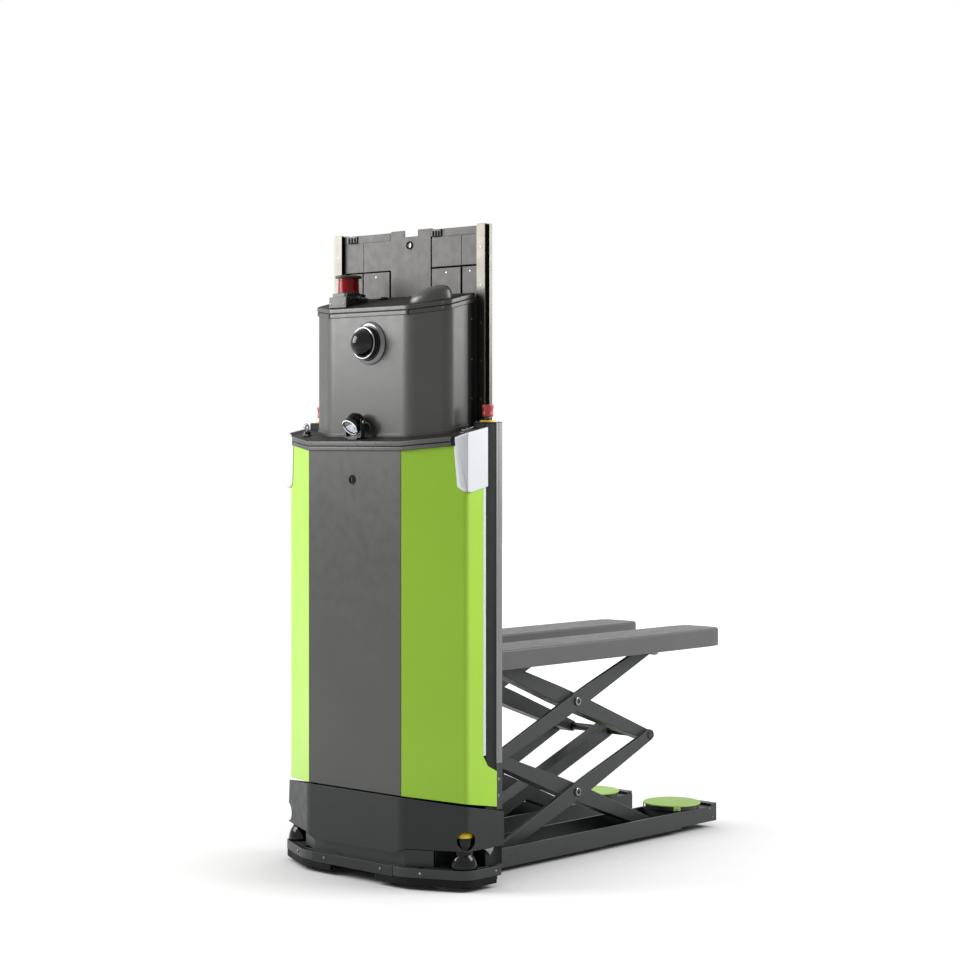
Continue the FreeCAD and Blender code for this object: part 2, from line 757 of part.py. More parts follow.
def make_side_panels():
    panel = panel_ring().common(block(-SEAM, FAR, FRONT_HALF + SEAM / 2.0, FAR, 0.0, FAR))
    rear = [(PANEL_EDGE_X, FAR), (PANEL_EDGE_X, TAB_TOP_Z),
            (PANEL_EDGE_X + TAB_STEP_LONG, TAB_TOP_Z - TAB_STEP_FALL),
            (TAB_X + SEAM, TAB_TOP_Z - TAB_END_FALL), (TAB_X + SEAM, FAR)]
    return both(panel.cut(side_prism(rear, 0.0, FAR)))


def fairing_region(spare):
    """Side outline of a white fairing on the left, grown a little by spare."""
    foot_z = DECK_Z - FAIRING_DROP
    corners = [(FOLD_X - 21.0, DECK_Z + 12.0), (FOLD_X - 1.0, DECK_Z + 27.0), (MAST_X0, DECK_Z + 44.0),
               (MAST_X0, foot_z), (MAST_X0 - 18.0, foot_z - 3.5), (FOLD_X + 13.0, foot_z - FAIRING_BELLY),
               (FOLD_X - 6.5, foot_z - FAIRING_BELLY + 3.0), (FOLD_X - 15.0, foot_z)]
    middle = Vec(FOLD_X + 26.0, 0, DECK_Z - FAIRING_DROP / 2.0)
    grown = [(x + math.copysign(spare, x - middle.x), z + math.copysign(spare, z - middle.z))
             for x, z in corners]
    return side_prism(grown, 0.0, FAR)


def make_fairings():
    wall = tower_wall(FAIRING_GAP + FAIRING_T, FAIRING_T, MAST_X0, 0.0, FAR)
    return both(wall.common(fairing_region(0.0)))


def make_light_strips():
    strip = block(LIGHT_IN_X, MAST_X0 - RUN_GAP, LIGHT_OUT - LIGHT_T, LIGHT_OUT,
                  TAB_TOP_Z + FAIRING_GAP, DECK_Z - FAIRING_DROP - FAIRING_GAP)
    return both(strip)


def make_masts():
    """Each mast: front wall, side wall, rear wall and top plate, with two guide pads for the rail."""
    foot = FLOOR_PLATE_Z + FLOOR_PLATE_T
    under_cap = MAST_TOP_Z - MAST_CAP_T
    inner_y = MAST_OUT - MAST_WALL
    solids = [block(MAST_X0, MAST_X0 + MAST_WALL, MAST_IN, MAST_OUT, foot, under_cap),
              block(MAST_X0 + MAST_WALL, MAST_X1 - MAST_WALL, inner_y, MAST_OUT, foot, under_cap),
              block(MAST_X1 - MAST_WALL, MAST_X1, MAST_IN, MAST_OUT, foot, under_cap),
              block(MAST_X0, MAST_X1, MAST_IN, MAST_OUT, under_cap, MAST_TOP_Z)]
    for z in (LOW_GUIDE_Z, HIGH_GUIDE_Z):
        solids.append(block(MAST_X1 - MAST_WALL - GUIDE_DEEP, MAST_X1 - MAST_WALL, RAIL_OUT + RUN_GAP,
                            inner_y, z, z + GUIDE_LONG))
    return [solid for mast in solids for solid in both(mast)]


def make_rear_wall():
    sheet_half = REAR_POST_Y + POST
    sheet = block(TOWER_REAR_X - SHEET_T, TOWER_REAR_X, -sheet_half, sheet_half,
                  BEAM_TOP_Z + SEAM, deck_height(TOWER_REAR_X) - DECK_T - SEAM)
    outer = block(HEAD_SHELL_X, HEAD_REAR_X, -HEAD_HALF, HEAD_HALF, DECK_Z, FAR)
    inner = block(HEAD_SHELL_X - SEAM, HEAD_REAR_X - SHEET_T, -HEAD_HALF + SHEET_T,
                  HEAD_HALF - SHEET_T, 0.0, FAR)
    frame = outer.cut(inner).cut(above_cap(CAP_T))
    return [sheet, frame.cut(below_deck())]


def deck_plan(grow, shoulder, notch, rear):
    """Plan outline of the deck, with a notch round each mast."""
    ring = tower_plan(grow, shoulder)
    notches = [(shoulder, -notch), (rear, -notch), (rear, notch), (shoulder, notch)]
    return ring[:3] + notches + ring[3:]


def make_deck():
    shoulder = MAST_X0 - RUN_GAP
    notch = MAST_IN - RUN_GAP
    slab = plan_prism(deck_plan(DECK_OUT, shoulder, notch, TOWER_REAR_X), 0.0, FAR)
    slab = slab.cut(above_deck()).cut(below_deck(DECK_T))
    hollow = plan_prism(deck_plan(DECK_OUT - 2.0 * SHEET_T, shoulder - SHEET_T, notch - SHEET_T,
                                  TOWER_REAR_X - SHEET_T), 0.0, FAR)
    hollow = hollow.cut(above(0.0, deck_height(0.0) - SHEET_T, DECK_SLOPE))
    reach = FAIRING_GAP + FAIRING_T + SEAM
    shell = tower_wall(reach, reach - FAIRING_GAP + RUN_GAP, MAST_X0 + SEAM, 0.0, FAR)
    bites = both(shell.common(fairing_region(RUN_GAP)))
    return [cut_all(slab, [hollow] + bites)]


# Head

def head_plan(grow, rear):
    """Plan outline of the head, moved outwards by grow."""
    return corner_plan(HEAD_X, HEAD_FRONT_HALF, HEAD_HALF, rear, grow)


def rounded_head(grow, rear):
    """A tall prism of the head's plan with small front folds and large side folds."""
    body = plan_prism(head_plan(grow, rear), 0.0, FAR)
    fold_x = HEAD_X + HEAD_CORNER_R / 2.0
    body = fillet_vertical(body, HEAD_FOLD_R + grow, lambda point: point.x < fold_x)
    return fillet_vertical(body, HEAD_CORNER_R + grow,
                           lambda point: fold_x < point.x < rear - HEAD_CORNER_R)


def make_head_shell():
    outer = rounded_head(0.0, HEAD_SHELL_X - RUN_GAP)
    inner = rounded_head(-HEAD_T, HEAD_SHELL_X + SEAM)
    shell = outer.cut(inner).cut(above_cap(CAP_T)).cut(below_deck())
    opening = rod(HEAD_X - SEAM, CAMERA_Y, CAMERA_Z, CAMERA_R - HEAD_T, HEAD_T + 2.0 * SEAM, (1, 0, 0))
    return [shell.cut(opening)]


def make_head_cap():
    slab = rounded_head(CAP_OUT, HEAD_REAR_X)
    slab = slab.cut(above_cap()).cut(below_cap(CAP_T))
    hollow = plan_prism(head_plan(-CAP_RIM - HEAD_T, HEAD_REAR_X - CAP_RIM - HEAD_T), 0.0, FAR)
    hollow = hollow.cut(above_cap(HEAD_T))
    entry = block(ENTRY_X, ENTRY_X + ENTRY_LONG, ENTRY_Y - ENTRY_HALF, ENTRY_Y + ENTRY_HALF,
                  CAP_Z, cap_height(ENTRY_X) + ENTRY_HIGH).cut(below_cap())
    entry = entry.makeFillet(ENTRY_HALF / 3.0, top_edges(entry))
    return [slab.cut(hollow), entry]


def make_cap_bulge():
    ball = Part.makeSphere(1.0)
    matrix = FreeCAD.Matrix()
    matrix.scale(BULGE_WIDE, BULGE_LONG, BULGE_HIGH)
    egg = ball.transformGeometry(matrix)
    turn = math.degrees(math.atan2(FOLD_X, SIDE_HALF - FRONT_HALF))
    egg.rotate(Vec(0, 0, 0), Vec(0, 0, 1), turn)
    egg.rotate(Vec(0, 0, 0), Vec(0, 1, 0), -math.degrees(math.atan(CAP_SLOPE)))
    egg.translate(Vec(BULGE_X, BULGE_Y, cap_height(BULGE_X)))
    return [egg.cut(below_cap())]


def camera_disc(reach, thickness, radius):
    """A disc on the camera's axis that starts at a distance in front of the head."""
    return rod(HEAD_X - reach - thickness, CAMERA_Y, CAMERA_Z, radius, thickness, (1, 0, 0))


def make_camera_housing():
    """The flange and barrel of the camera, and the bright ring round its glass."""
    flange = camera_disc(0.0, CAMERA_FLANGE_T, CAMERA_FLANGE_R)
    front = [edge for edge in flange.Edges if edge.CenterOfMass.x < HEAD_X - CAMERA_FLANGE_T + SEAM]
    flange = flange.makeChamfer(CAMERA_FLANGE_T / 2.0, front[:1])
    barrel_reach = CAMERA_REACH - CAMERA_RING_T
    whole = fuse([flange, camera_disc(0.0, barrel_reach, CAMERA_R - SEAM)])
    whole = whole.cut(camera_disc(-SEAM, CAMERA_REACH + SEAM, CAMERA_GLASS_R - CAMERA_LIP))
    ring = camera_disc(barrel_reach, CAMERA_RING_T, CAMERA_R)
    return [whole, ring.cut(camera_disc(0.0, FAR, CAMERA_GLASS_R + FIT))]


def make_camera_dome():
    rise = CAMERA_GLASS_RISE
    radius = (CAMERA_GLASS_R ** 2 + rise ** 2) / (2.0 * rise)
    seat = HEAD_X - CAMERA_REACH + CAMERA_RING_T
    face = HEAD_X - CAMERA_REACH
    ball = Part.makeSphere(radius, Vec(face - rise + radius, CAMERA_Y, CAMERA_Z))
    tip = ball.common(rod(face - 2.0 * rise, CAMERA_Y, CAMERA_Z, CAMERA_GLASS_R, 2.0 * rise, (1, 0, 0)))
    return [fuse([tip, rod(face, CAMERA_Y, CAMERA_Z, CAMERA_GLASS_R, seat - face, (1, 0, 0))])]


# Navigation scanner

def lidar_plug_height():
    """Height of the axis of the scanner's plug."""
    return (cap_height(LIDAR_X + LIDAR_LONG / 2.0) + LIDAR_BODY_Z) / 2.0 - PLUG_DROP


def make_lidar_body():
    x0, x1 = LIDAR_X - LIDAR_LONG / 2.0, LIDAR_X + LIDAR_LONG / 2.0
    y0, y1 = LIDAR_Y - LIDAR_WIDE / 2.0, LIDAR_Y + LIDAR_WIDE / 2.0
    middle = (cap_height(x1) + LIDAR_BODY_Z) / 2.0
    foot = block(x0, x1, y0, y1, 0.0, middle).cut(below_cap())
    upper = block(x0 + LIDAR_INSET, x1 - LIDAR_INSET, y0 + LIDAR_INSET, y1 - LIDAR_INSET,
                  middle, LIDAR_BODY_Z)
    upper = fillet_vertical(upper, LIDAR_CORNER_R, lambda point: True)
    plug = cross_rod(LIDAR_X, lidar_plug_height(), PLUG_R, y0 - PLUG_LONG, LIDAR_Y)
    spindle = rod(LIDAR_X, LIDAR_Y, LIDAR_BODY_Z, LIDAR_SPINDLE_R, LIDAR_WINDOW_Z - LIDAR_BODY_Z)
    return [fuse([foot, upper, plug, spindle])]


def make_scanner_lead():
    """From the scanner's plug over the cap and into its entry."""
    x, z = LIDAR_X, lidar_plug_height()
    y = LIDAR_Y - LIDAR_WIDE / 2.0 - PLUG_LONG
    rest = SCANNER_LEAD_D / 2.0 + RUN_GAP
    end_z = cap_height(ENTRY_X) + rest + 0.5
    route = [(x, y, z), (x, y - 13.0, z - 1.0), (x + 7.0, y - 27.0, z - 5.5),
             (x + 20.0, y - 39.0, cap_height(x + 20.0) + rest + 1.5),
             (x + 36.0, ENTRY_Y + 0.5, end_z - 3.0), (ENTRY_X - 10.0, ENTRY_Y, end_z),
             (ENTRY_X, ENTRY_Y, end_z)]
    return [lead(route, SCANNER_LEAD_D)]


def make_lidar_window():
    tube = rod(LIDAR_X, LIDAR_Y, LIDAR_BODY_Z, LIDAR_WINDOW_R, LIDAR_WINDOW_Z - LIDAR_BODY_Z)
    return [tube.cut(rod(LIDAR_X, LIDAR_Y, 0.0, LIDAR_WINDOW_R - LIDAR_WINDOW_T, FAR))]


def make_lidar_cap():
    lid = rod(LIDAR_X, LIDAR_Y, LIDAR_WINDOW_Z, LIDAR_CAP_R, LIDAR_CAP_T)
    return [lid.makeFillet(LIDAR_CAP_EDGE_R, top_edges(lid))]


def make_lidar_rotor():
    low = LIDAR_BODY_Z + LIDAR_ROTOR_GAP
    high = LIDAR_WINDOW_Z - LIDAR_ROTOR_GAP
    drum = rod(LIDAR_X, LIDAR_Y, low, LIDAR_ROTOR_R, high - low)
    drum = drum.cut(rod(LIDAR_X, LIDAR_Y, 0.0, LIDAR_SPINDLE_R + FIT, FAR))
    flat = block(LIDAR_X - LIDAR_WINDOW_R, LIDAR_X - LIDAR_ROTOR_FLAT, LIDAR_Y - LIDAR_WINDOW_R,
                 LIDAR_Y + LIDAR_WINDOW_R, low + LIDAR_ROTOR_GAP, FAR)
    return [drum.cut(flat)]


# Work light

def light_turned(shape):
    """Tips a shape made along -X down to the light's rest tilt."""
    shape.rotate(Vec(LIGHT_X, LIGHT_Y, LIGHT_Z), Vec(0, 1, 0), -LIGHT_TILT)
    return shape


def light_ear_y():
    """Distance of the inner face of each ear from the middle of the light."""
    return LIGHT_R + EAR_GAP


def make_light_bracket():
    """The light's fork bracket on its pad, and the collar where its lead enters the deck."""
    foot_z = deck_height(LIGHT_X) + FOOT_LIFT
    reach = light_ear_y() + EAR_T
    parts = [block(LIGHT_X - FOOT_HALF, LIGHT_X + FOOT_HALF, LIGHT_Y - reach, LIGHT_Y + reach,
                   foot_z, foot_z + EAR_T)]
    pad = block(LIGHT_X - PAD_HALF_X, LIGHT_X + PAD_HALF_X, LIGHT_Y - PAD_HALF_Y, LIGHT_Y + PAD_HALF_Y,
                DECK_Z, foot_z)
    parts.append(pad.cut(below_deck()))
    for side in (1, -1):
        y = LIGHT_Y + side * light_ear_y()
        parts.append(block(LIGHT_X - EAR_HALF, LIGHT_X + EAR_HALF, y, y + side * EAR_T,
                           foot_z, LIGHT_Z + EAR_RISE))
        parts.append(cross_rod(LIGHT_X, LIGHT_Z, LIGHT_PIVOT_R, y - side * EAR_PIN_IN,
                               y + side * EAR_PIN_OUT))
    collar = rod(COLLAR_X, COLLAR_Y, DECK_Z, COLLAR_R, COLLAR_LIFT).cut(below_deck())
    return [fuse(parts), collar]


def make_light_lead():
    """From the light's hollow pivot on the right down into the deck, in front of the head."""
    x, y, z = LIGHT_X, LIGHT_Y - light_ear_y() - EAR_PIN_OUT, LIGHT_Z
    end_z = DECK_Z + COLLAR_LIFT
    route = [(x, y, z), (x, y - 10.0, z), (x + 5.0, y - 20.0, z - 6.0), (x + 11.0, y - 22.0, z - 20.0),
             (COLLAR_X - 1.0, COLLAR_Y - 3.0, end_z + 13.0), (COLLAR_X, COLLAR_Y, end_z + 6.5),
             (COLLAR_X, COLLAR_Y, end_z)]
    return [lead(route, LIGHT_LEAD_D)]


def make_light_body():
    front_x = LIGHT_X - LIGHT_LEN / 2.0
    drum = rod(front_x, LIGHT_Y, LIGHT_Z, LIGHT_R, LIGHT_LEN, (1, 0, 0))
    rear = [edge for edge in drum.Edges
            if edge.CenterOfMass.x > front_x + LIGHT_LEN - SEAM and len(edge.Vertexes) == 1]
    drum = drum.makeFillet(LIGHT_BACK_R, rear[:1])
    drum = drum.cut(rod(front_x - SEAM, LIGHT_Y, LIGHT_Z, LENS_R + FIT, LIGHT_RECESS + SEAM, (1, 0, 0)))
    drum = drum.cut(cross_rod(LIGHT_X, LIGHT_Z, LIGHT_PIVOT_R + FIT, -FAR, FAR))
    return [light_turned(drum)]


def make_light_lens():
    lens = rod(LIGHT_X - LIGHT_LEN / 2.0 + LENS_INSET, LIGHT_Y, LIGHT_Z, LENS_R, LENS_T, (1, 0, 0))
    return [light_turned(lens)]


# Controls

def make_stop_collars():
    collar = rod(STOP_X, STOP_Y, MAST_TOP_Z, STOP_COLLAR_R, STOP_COLLAR_T)
    neck = rod(STOP_X, STOP_Y, MAST_TOP_Z, STOP_NECK_R, STOP_NECK_H)
    whole = fuse([collar, neck])
    return both(whole.cut(rod(STOP_X, STOP_Y, MAST_TOP_Z + SEAM, STOP_STEM_R + FIT, STOP_NECK_H)))


def make_stop_button():
    base = MAST_TOP_Z + STOP_NECK_H + STOP_TRAVEL + RUN_GAP
    cap = rod(STOP_X, STOP_Y, base, STOP_CAP_R, STOP_CAP_H)
    cap = cap.makeFillet(STOP_CAP_EDGE_R, top_edges(cap))
    stem_low = MAST_TOP_Z + SEAM + STOP_TRAVEL + RUN_GAP
    return fuse([cap, rod(STOP_X, STOP_Y, stem_low, STOP_STEM_R, base - stem_low)])


def make_key_switch():
    z = deck_height(KEY_X) + KEY_BODY_H
    body = rod(KEY_X, KEY_Y, DECK_Z, KEY_BODY_R, z - DECK_Z).cut(below_deck())
    return [body.cut(rod(KEY_X, KEY_Y, z - KEY_DEPTH, KEY_STEM_R + FIT, KEY_BODY_H))]


def make_key():
    z = deck_height(KEY_X) + KEY_BODY_H
    stem = rod(KEY_X, KEY_Y, z - KEY_DEPTH + SEAM, KEY_STEM_R, KEY_DEPTH + SEAM)
    bow = block(KEY_X - KEY_T / 2.0, KEY_X + KEY_T / 2.0, KEY_Y - KEY_BOW_HALF, KEY_Y + KEY_BOW_HALF,
                z + SEAM, z + SEAM + KEY_BOW_HIGH)
    return [fuse([stem, bow])]


def make_front_lock():
    plug = rod(-LOCK_PROUD, LOCK_Y, LOCK_Z, LOCK_R, LOCK_T, (1, 0, 0))
    slot = block(-LOCK_PROUD, LOCK_SLOT_DEEP - LOCK_PROUD, LOCK_Y - LOCK_SLOT_W / 2.0,
                 LOCK_Y + LOCK_SLOT_W / 2.0, LOCK_Z - LOCK_SLOT_HALF, LOCK_Z + LOCK_SLOT_HALF)
    back = LOCK_T - LOCK_PROUD
    cam = block(back, back + CAM_T, LOCK_Y - CAM_HALF, LOCK_Y + CAM_HALF,
                LOCK_Z - CAM_LONG, LOCK_Z + CAM_HALF)
    return [fuse([plug.cut(slot), cam])]


def make_guard_bodies():
    z = FLOOR_PLATE_Z + FLOOR_PLATE_T
    body = rod(GUARD_X, GUARD_Y, z, GUARD_BODY_R, GUARD_BODY_H)
    body = body.makeFillet(GUARD_BODY_EDGE_R, top_edges(body))
    return both(fuse([body, rod(GUARD_X, GUARD_Y, z, GUARD_HEAD_R, GUARD_HEAD_TOP_Z - z)]))


def make_guard_caps():
    cap = rod(GUARD_X, GUARD_Y, GUARD_HEAD_TOP_Z, GUARD_HEAD_R - GUARD_CAP_INSET, GUARD_CAP_T)
    return both(cap.makeFillet(GUARD_CAP_EDGE_R, top_edges(cap)))


# Insides

def make_battery():
    low = BRIDGE_Z + BRIDGE_T
    half = FRONT_POST_Y - BATTERY_INSET
    case = block(FRONT_POST_X + BATTERY_GAP, TOWER_REAR_X - 2.0 * SHEET_T, -half, half, low, low + BATTERY_H)
    poles = [rod(FRONT_POST_X + POST, y, low + BATTERY_H, POLE_R, POLE_H) for y in (-half * 0.8, half * 0.8)]
    return [fuse([case] + poles)]


def make_controller():
    low = SHELF_Z + PLATE_T
    top = low + CONTROLLER_H
    x0, x1 = FRONT_POST_X + CONTROLLER_INSET, TOWER_REAR_X - CONTROLLER_INSET
    parts = [block(x0, x1, -CONTROLLER_HALF, CONTROLLER_HALF, low, top)]
    pitch = (2.0 * CONTROLLER_HALF - FIN_T) / (FIN_COUNT - 1)
    for step in range(FIN_COUNT):
        y = -CONTROLLER_HALF + pitch * step
        parts.append(block(x0 + CONTROLLER_INSET, x1 - CONTROLLER_INSET, y, y + FIN_T, top, top + FIN_H))
    return [fuse(parts)]


def make_lift_drive():
    box_x = PIVOT_X - GEARBOX_LEAD
    motor = rod(LEG_X0, DRIVE_MOTOR_Y, PIVOT_Z, DRIVE_MOTOR_R, box_x - LEG_X0, (1, 0, 0))
    box = block(box_x, PIVOT_X + GEARBOX_TAIL, DRIVE_MOTOR_Y - GEARBOX_HALF_Y,
                DRIVE_MOTOR_Y + GEARBOX_HALF_Y, PIVOT_Z - GEARBOX_HALF_Z, PIVOT_Z + GEARBOX_HALF_Z)
    return [fuse([motor, box]).cut(cross_rod(PIVOT_X, PIVOT_Z, PIN_R + FIT, 0.0, FAR))]


def make_base_shaft():
    return [cross_rod(PIVOT_X, PIVOT_Z, PIN_R, -LEG_OUT, LEG_OUT)]


# Drive modules

def yoke_plates(x, y, half_gap, half_x, z0, z1):
    """The two plates that hold a wheel's axle."""
    plates = []
    for side in (1, -1):
        near = y + side * half_gap
        plates.append(block(x - half_x, x + half_x, near, near + side * YOKE_T, z0, z1))
    return plates


def make_drive_yoke(side):
    y = side * DRIVE_Y
    half = FRONT_WHEEL_W / 2.0 + FRONT_YOKE_GAP
    parts = yoke_plates(DRIVE_X, y, half, FRONT_YOKE_HALF_X, FRONT_WHEEL_R - FRONT_YOKE_HALF_X,
                        FRONT_YOKE_TOP_Z - YOKE_T / 2.0)
    parts.append(rod(DRIVE_X, y, FRONT_YOKE_TOP_Z - YOKE_T, FRONT_YOKE_R, YOKE_T))
    parts.append(wheel_rod(DRIVE_X, y, FRONT_WHEEL_R, FRONT_AXLE_R, 2.0 * (half + YOKE_T)))
    pin_low = FRONT_YOKE_TOP_Z - YOKE_T / 2.0
    parts.append(rod(DRIVE_X, y, pin_low, KINGPIN_R, BRIDGE_Z + BRIDGE_T - SEAM - pin_low))
    return fuse(parts)


def make_wheel(x, y, radius, width, bore):
    """A tyre and hub in one, with rounded shoulders, standing on the floor."""
    wheel = wheel_rod(x, y, radius, radius, width)
    rims = [edge for edge in wheel.Edges if len(edge.Vertexes) == 1]
    wheel = wheel.makeFillet(TYRE_SHOULDER_R, rims)
    for sign in (1, -1):
        face = y + sign * width / 2.0
        rim = cross_rod(x, radius, radius * RIM_SHARE, face - sign * RIM_DEEP, face + sign * SEAM)
        wheel = wheel.cut(rim)
    wheel = fuse([wheel, wheel_rod(x, y, radius, bore * BOSS_SHARE, width)])
    return wheel.cut(wheel_rod(x, y, radius, bore + FIT, width + 2.0 * SEAM))


def make_turntable(side):
    y = side * TABLE_Y
    disc = rod(TABLE_X, y, TABLE_TOP_Z - TABLE_T, TABLE_R, TABLE_T)
    disc = disc.makeChamfer(TABLE_CHAMFER, top_edges(disc))
    hub_low = LEG_TOP_Z - LEG_FLOOR_T
    hub_high = TABLE_TOP_Z - TABLE_T / 2.0
    hub = rod(TABLE_X, y, hub_low, TABLE_HUB_R, hub_high - hub_low)
    bay_top = REAR_WHEEL_R * 2.0 + REAR_YOKE_GAP
    hub = hub.cut(rod(TABLE_X, y, 0.0, REAR_WHEEL_R + REAR_WHEEL_SPARE, bay_top))
    half = REAR_WHEEL_W / 2.0 + REAR_YOKE_GAP
    parts = [disc, hub, wheel_rod(TABLE_X, y, REAR_WHEEL_R, REAR_AXLE_R, 2.0 * (half + YOKE_T))]
    parts += yoke_plates(TABLE_X, y, half, REAR_YOKE_HALF_X, REAR_WHEEL_R - REAR_YOKE_HALF_X,
                         bay_top + YOKE_T / 2.0)
    for degrees in TAB_ANGLES:
        tab = block(TABLE_R - TAB_DEEP, TABLE_R, -TAB_HALF, TAB_HALF, TABLE_TOP_Z - TAB_DROP, hub_high)
        tab = tab.common(rod(0.0, 0.0, 0.0, TABLE_R, TABLE_TOP_Z))
        tab.rotate(Vec(0, 0, 0), Vec(0, 0, 1), degrees)
        tab.translate(Vec(TABLE_X, y, 0))
        parts.append(tab)
    return fuse(parts)


# Scissor

def centre_pin(stage):
    """Station and height of the middle pin of stage 0 or 1."""
    return PIVOT_X + ARM_RUN / 2.0, PIVOT_Z + ARM_RISE * (stage + 0.5)


def end_pin(level, rear):
    """Station and height of the pins at level 0, 1 or 2, at the front or the rear end."""
    return PIVOT_X + (ARM_RUN if rear else 0.0), PIVOT_Z + ARM_RISE * level


def arm_outline():
    """Flat arm along X about the origin: wide in the middle, round at both ends."""
    half = ARM_LENGTH / 2.0
    top_end = Vec(half, 0, ARM_END_R)
    top_mid = Vec(ARM_SWELL, 0, ARM_MID_HALF)
    left_mid = Vec(-ARM_SWELL, 0, ARM_MID_HALF)
    left_end = Vec(-half, 0, ARM_END_R)
    low = [Vec(point.x, 0, -point.z) for point in (left_end, left_mid, top_mid, top_end)]
    edges = [Part.LineSegment(top_end, top_mid).toShape(),
             Part.LineSegment(top_mid, left_mid).toShape(),
             Part.LineSegment(left_mid, left_end).toShape(),
             Part.Arc(left_end, Vec(-half - ARM_END_R, 0, 0), low[0]).toShape(),
             Part.LineSegment(low[0], low[1]).toShape(),
             Part.LineSegment(low[1], low[2]).toShape(),
             Part.LineSegment(low[2], low[3]).toShape(),
             Part.Arc(low[3], Vec(half + ARM_END_R, 0, 0), top_end).toShape()]
    return Part.Wire(edges)


def arm_at(shape, stage, sign):
    """Turns a flat arm to its rest angle and puts its middle on a stage's centre pin."""
    shape.rotate(Vec(0, 0, 0), Vec(0, 1, 0), -sign * ARM_ANGLE)
    x, z = centre_pin(stage)
    shape.translate(Vec(x, 0, z))
    return shape


def flat_arm(y_out, thickness, bores):
    """A left plate arm with bores at its front end, middle and rear end."""
    plate = Part.Face(arm_outline()).extrude(Vec(0, thickness, 0))
    plate.translate(Vec(0, y_out - thickness, 0))
    for place, radius in zip((-ARM_LENGTH / 2.0, 0.0, ARM_LENGTH / 2.0), bores):
        plate = plate.cut(cross_rod(place, 0.0, radius + FIT, 0.0, FAR))
    return plate


def box_arm(bores):
    """A left box section arm, hollow between its bosses."""
    arm = flat_arm(INNER_ARM_Y, INNER_ARM_T, bores)
    half = ARM_LENGTH / 2.0
    wall = INNER_ARM_WALL
    far = half - INNER_ARM_SOLID
    for start, end in ((INNER_ARM_SOLID, far), (-far, -INNER_ARM_SOLID)):
        arm = arm.cut(block(start, end, INNER_ARM_Y - INNER_ARM_T + wall, INNER_ARM_Y - wall,
                            wall - ARM_END_R, ARM_END_R - wall))
    return arm


def make_centre_arm():
    """The hollow arm between the two sides of the lower stage."""
    half = ARM_LENGTH / 2.0
    wide, high = CENTRE_ARM_HALF_Y, CENTRE_ARM_HALF_Z
    parts = [block(-half, half, -wide, wide, -high, high)]
    parts += [cross_rod(x, 0.0, high, -wide, wide) for x in (-half, half)]
    inner_wide, inner_high = wide - CENTRE_ARM_WALL, high - CENTRE_ARM_WALL
    hollow = block(CENTRE_ARM_SOLID - half, half - CENTRE_ARM_SOLID, -inner_wide, inner_wide,
                   -inner_high, inner_high)
    bores = [cross_rod(x, 0.0, radius + FIT, -FAR, FAR) for x, radius in ((-half, PIN_R), (half, MID_TUBE_R))]
    return cut_all(fuse(parts), [hollow] + bores)


def make_lower_outer_arms():
    arms = both(flat_arm(OUTER_ARM_Y, OUTER_ARM_T, (PIN_R, PIN_R, MID_TUBE_R)))
    return [arm_at(arm, 0, 1) for arm in arms + [make_centre_arm()]]


def make_lower_inner_arms():
    """The inner arms of the lower stage, each with the stub axle of its foot roller."""
    arms = [arm_at(arm, 0, -1) for arm in both(box_arm((PIN_R + RUN_GAP, PIN_R, AXLE_R + AXLE_SKIN)))]
    x, z = end_pin(0, True)
    journal = ROLLER_IN + ROLLER_W
    thin = cross_rod(x, z, AXLE_R, ROLLER_IN, journal)
    thick = cross_rod(x, z, AXLE_R + AXLE_SKIN, journal, INNER_ARM_Y)
    return arms + both(fuse([thin, thick]))


def make_upper_inner_arms():
    return [arm_at(arm, 1, -1) for arm in both(box_arm((PIN_R, PIN_R, MID_TUBE_R)))]


def make_upper_outer_arms():
    return [arm_at(arm, 1, 1) for arm in both(flat_arm(OUTER_ARM_Y, OUTER_ARM_T, (PIN_R, PIN_R, AXLE_R)))]


def headed_pin(x, z, inner, outer):
    """A pin along Y with a flat head outside the outer arm."""
    head = cross_rod(x, z, PIN_HEAD_R, outer, outer + PIN_HEAD_T)
    return fuse([cross_rod(x, z, PIN_R, inner, outer), head])


def make_lower_pins():
    solids = both(headed_pin(*centre_pin(0), INNER_ARM_Y - INNER_ARM_T, OUTER_ARM_Y))
    solids.append(cross_rod(*end_pin(1, True), MID_TUBE_R, -OUTER_ARM_Y, OUTER_ARM_Y))
    return solids


def make_upper_pins():
    return both(headed_pin(*centre_pin(1), INNER_ARM_Y - INNER_ARM_T, OUTER_ARM_Y))


def make_front_links():
    """Pins that join the two stages at the front, with the axles of the fork rollers."""
    solids = both(headed_pin(*end_pin(1, False), INNER_ARM_Y - INNER_ARM_T, OUTER_ARM_Y))
    axle_out = OUTER_ARM_Y + ROLLER_SIDE_GAP + ROLLER_W
    return solids + both(cross_rod(*end_pin(2, True), AXLE_R, OUTER_ARM_Y - OUTER_ARM_T, axle_out))


def roller(x, z, y0):
    """A roller with a bore for its axle."""
    drum = cross_rod(x, z, ROLLER_R, y0, y0 + ROLLER_W)
    return drum.cut(cross_rod(x, z, AXLE_R + FIT, 0.0, FAR))


def make_foot_rollers():
    return both(roller(*end_pin(0, True), ROLLER_IN))


def make_fork_rollers():
    return both(roller(*end_pin(2, True), OUTER_ARM_Y + ROLLER_SIDE_GAP))


# Carriage

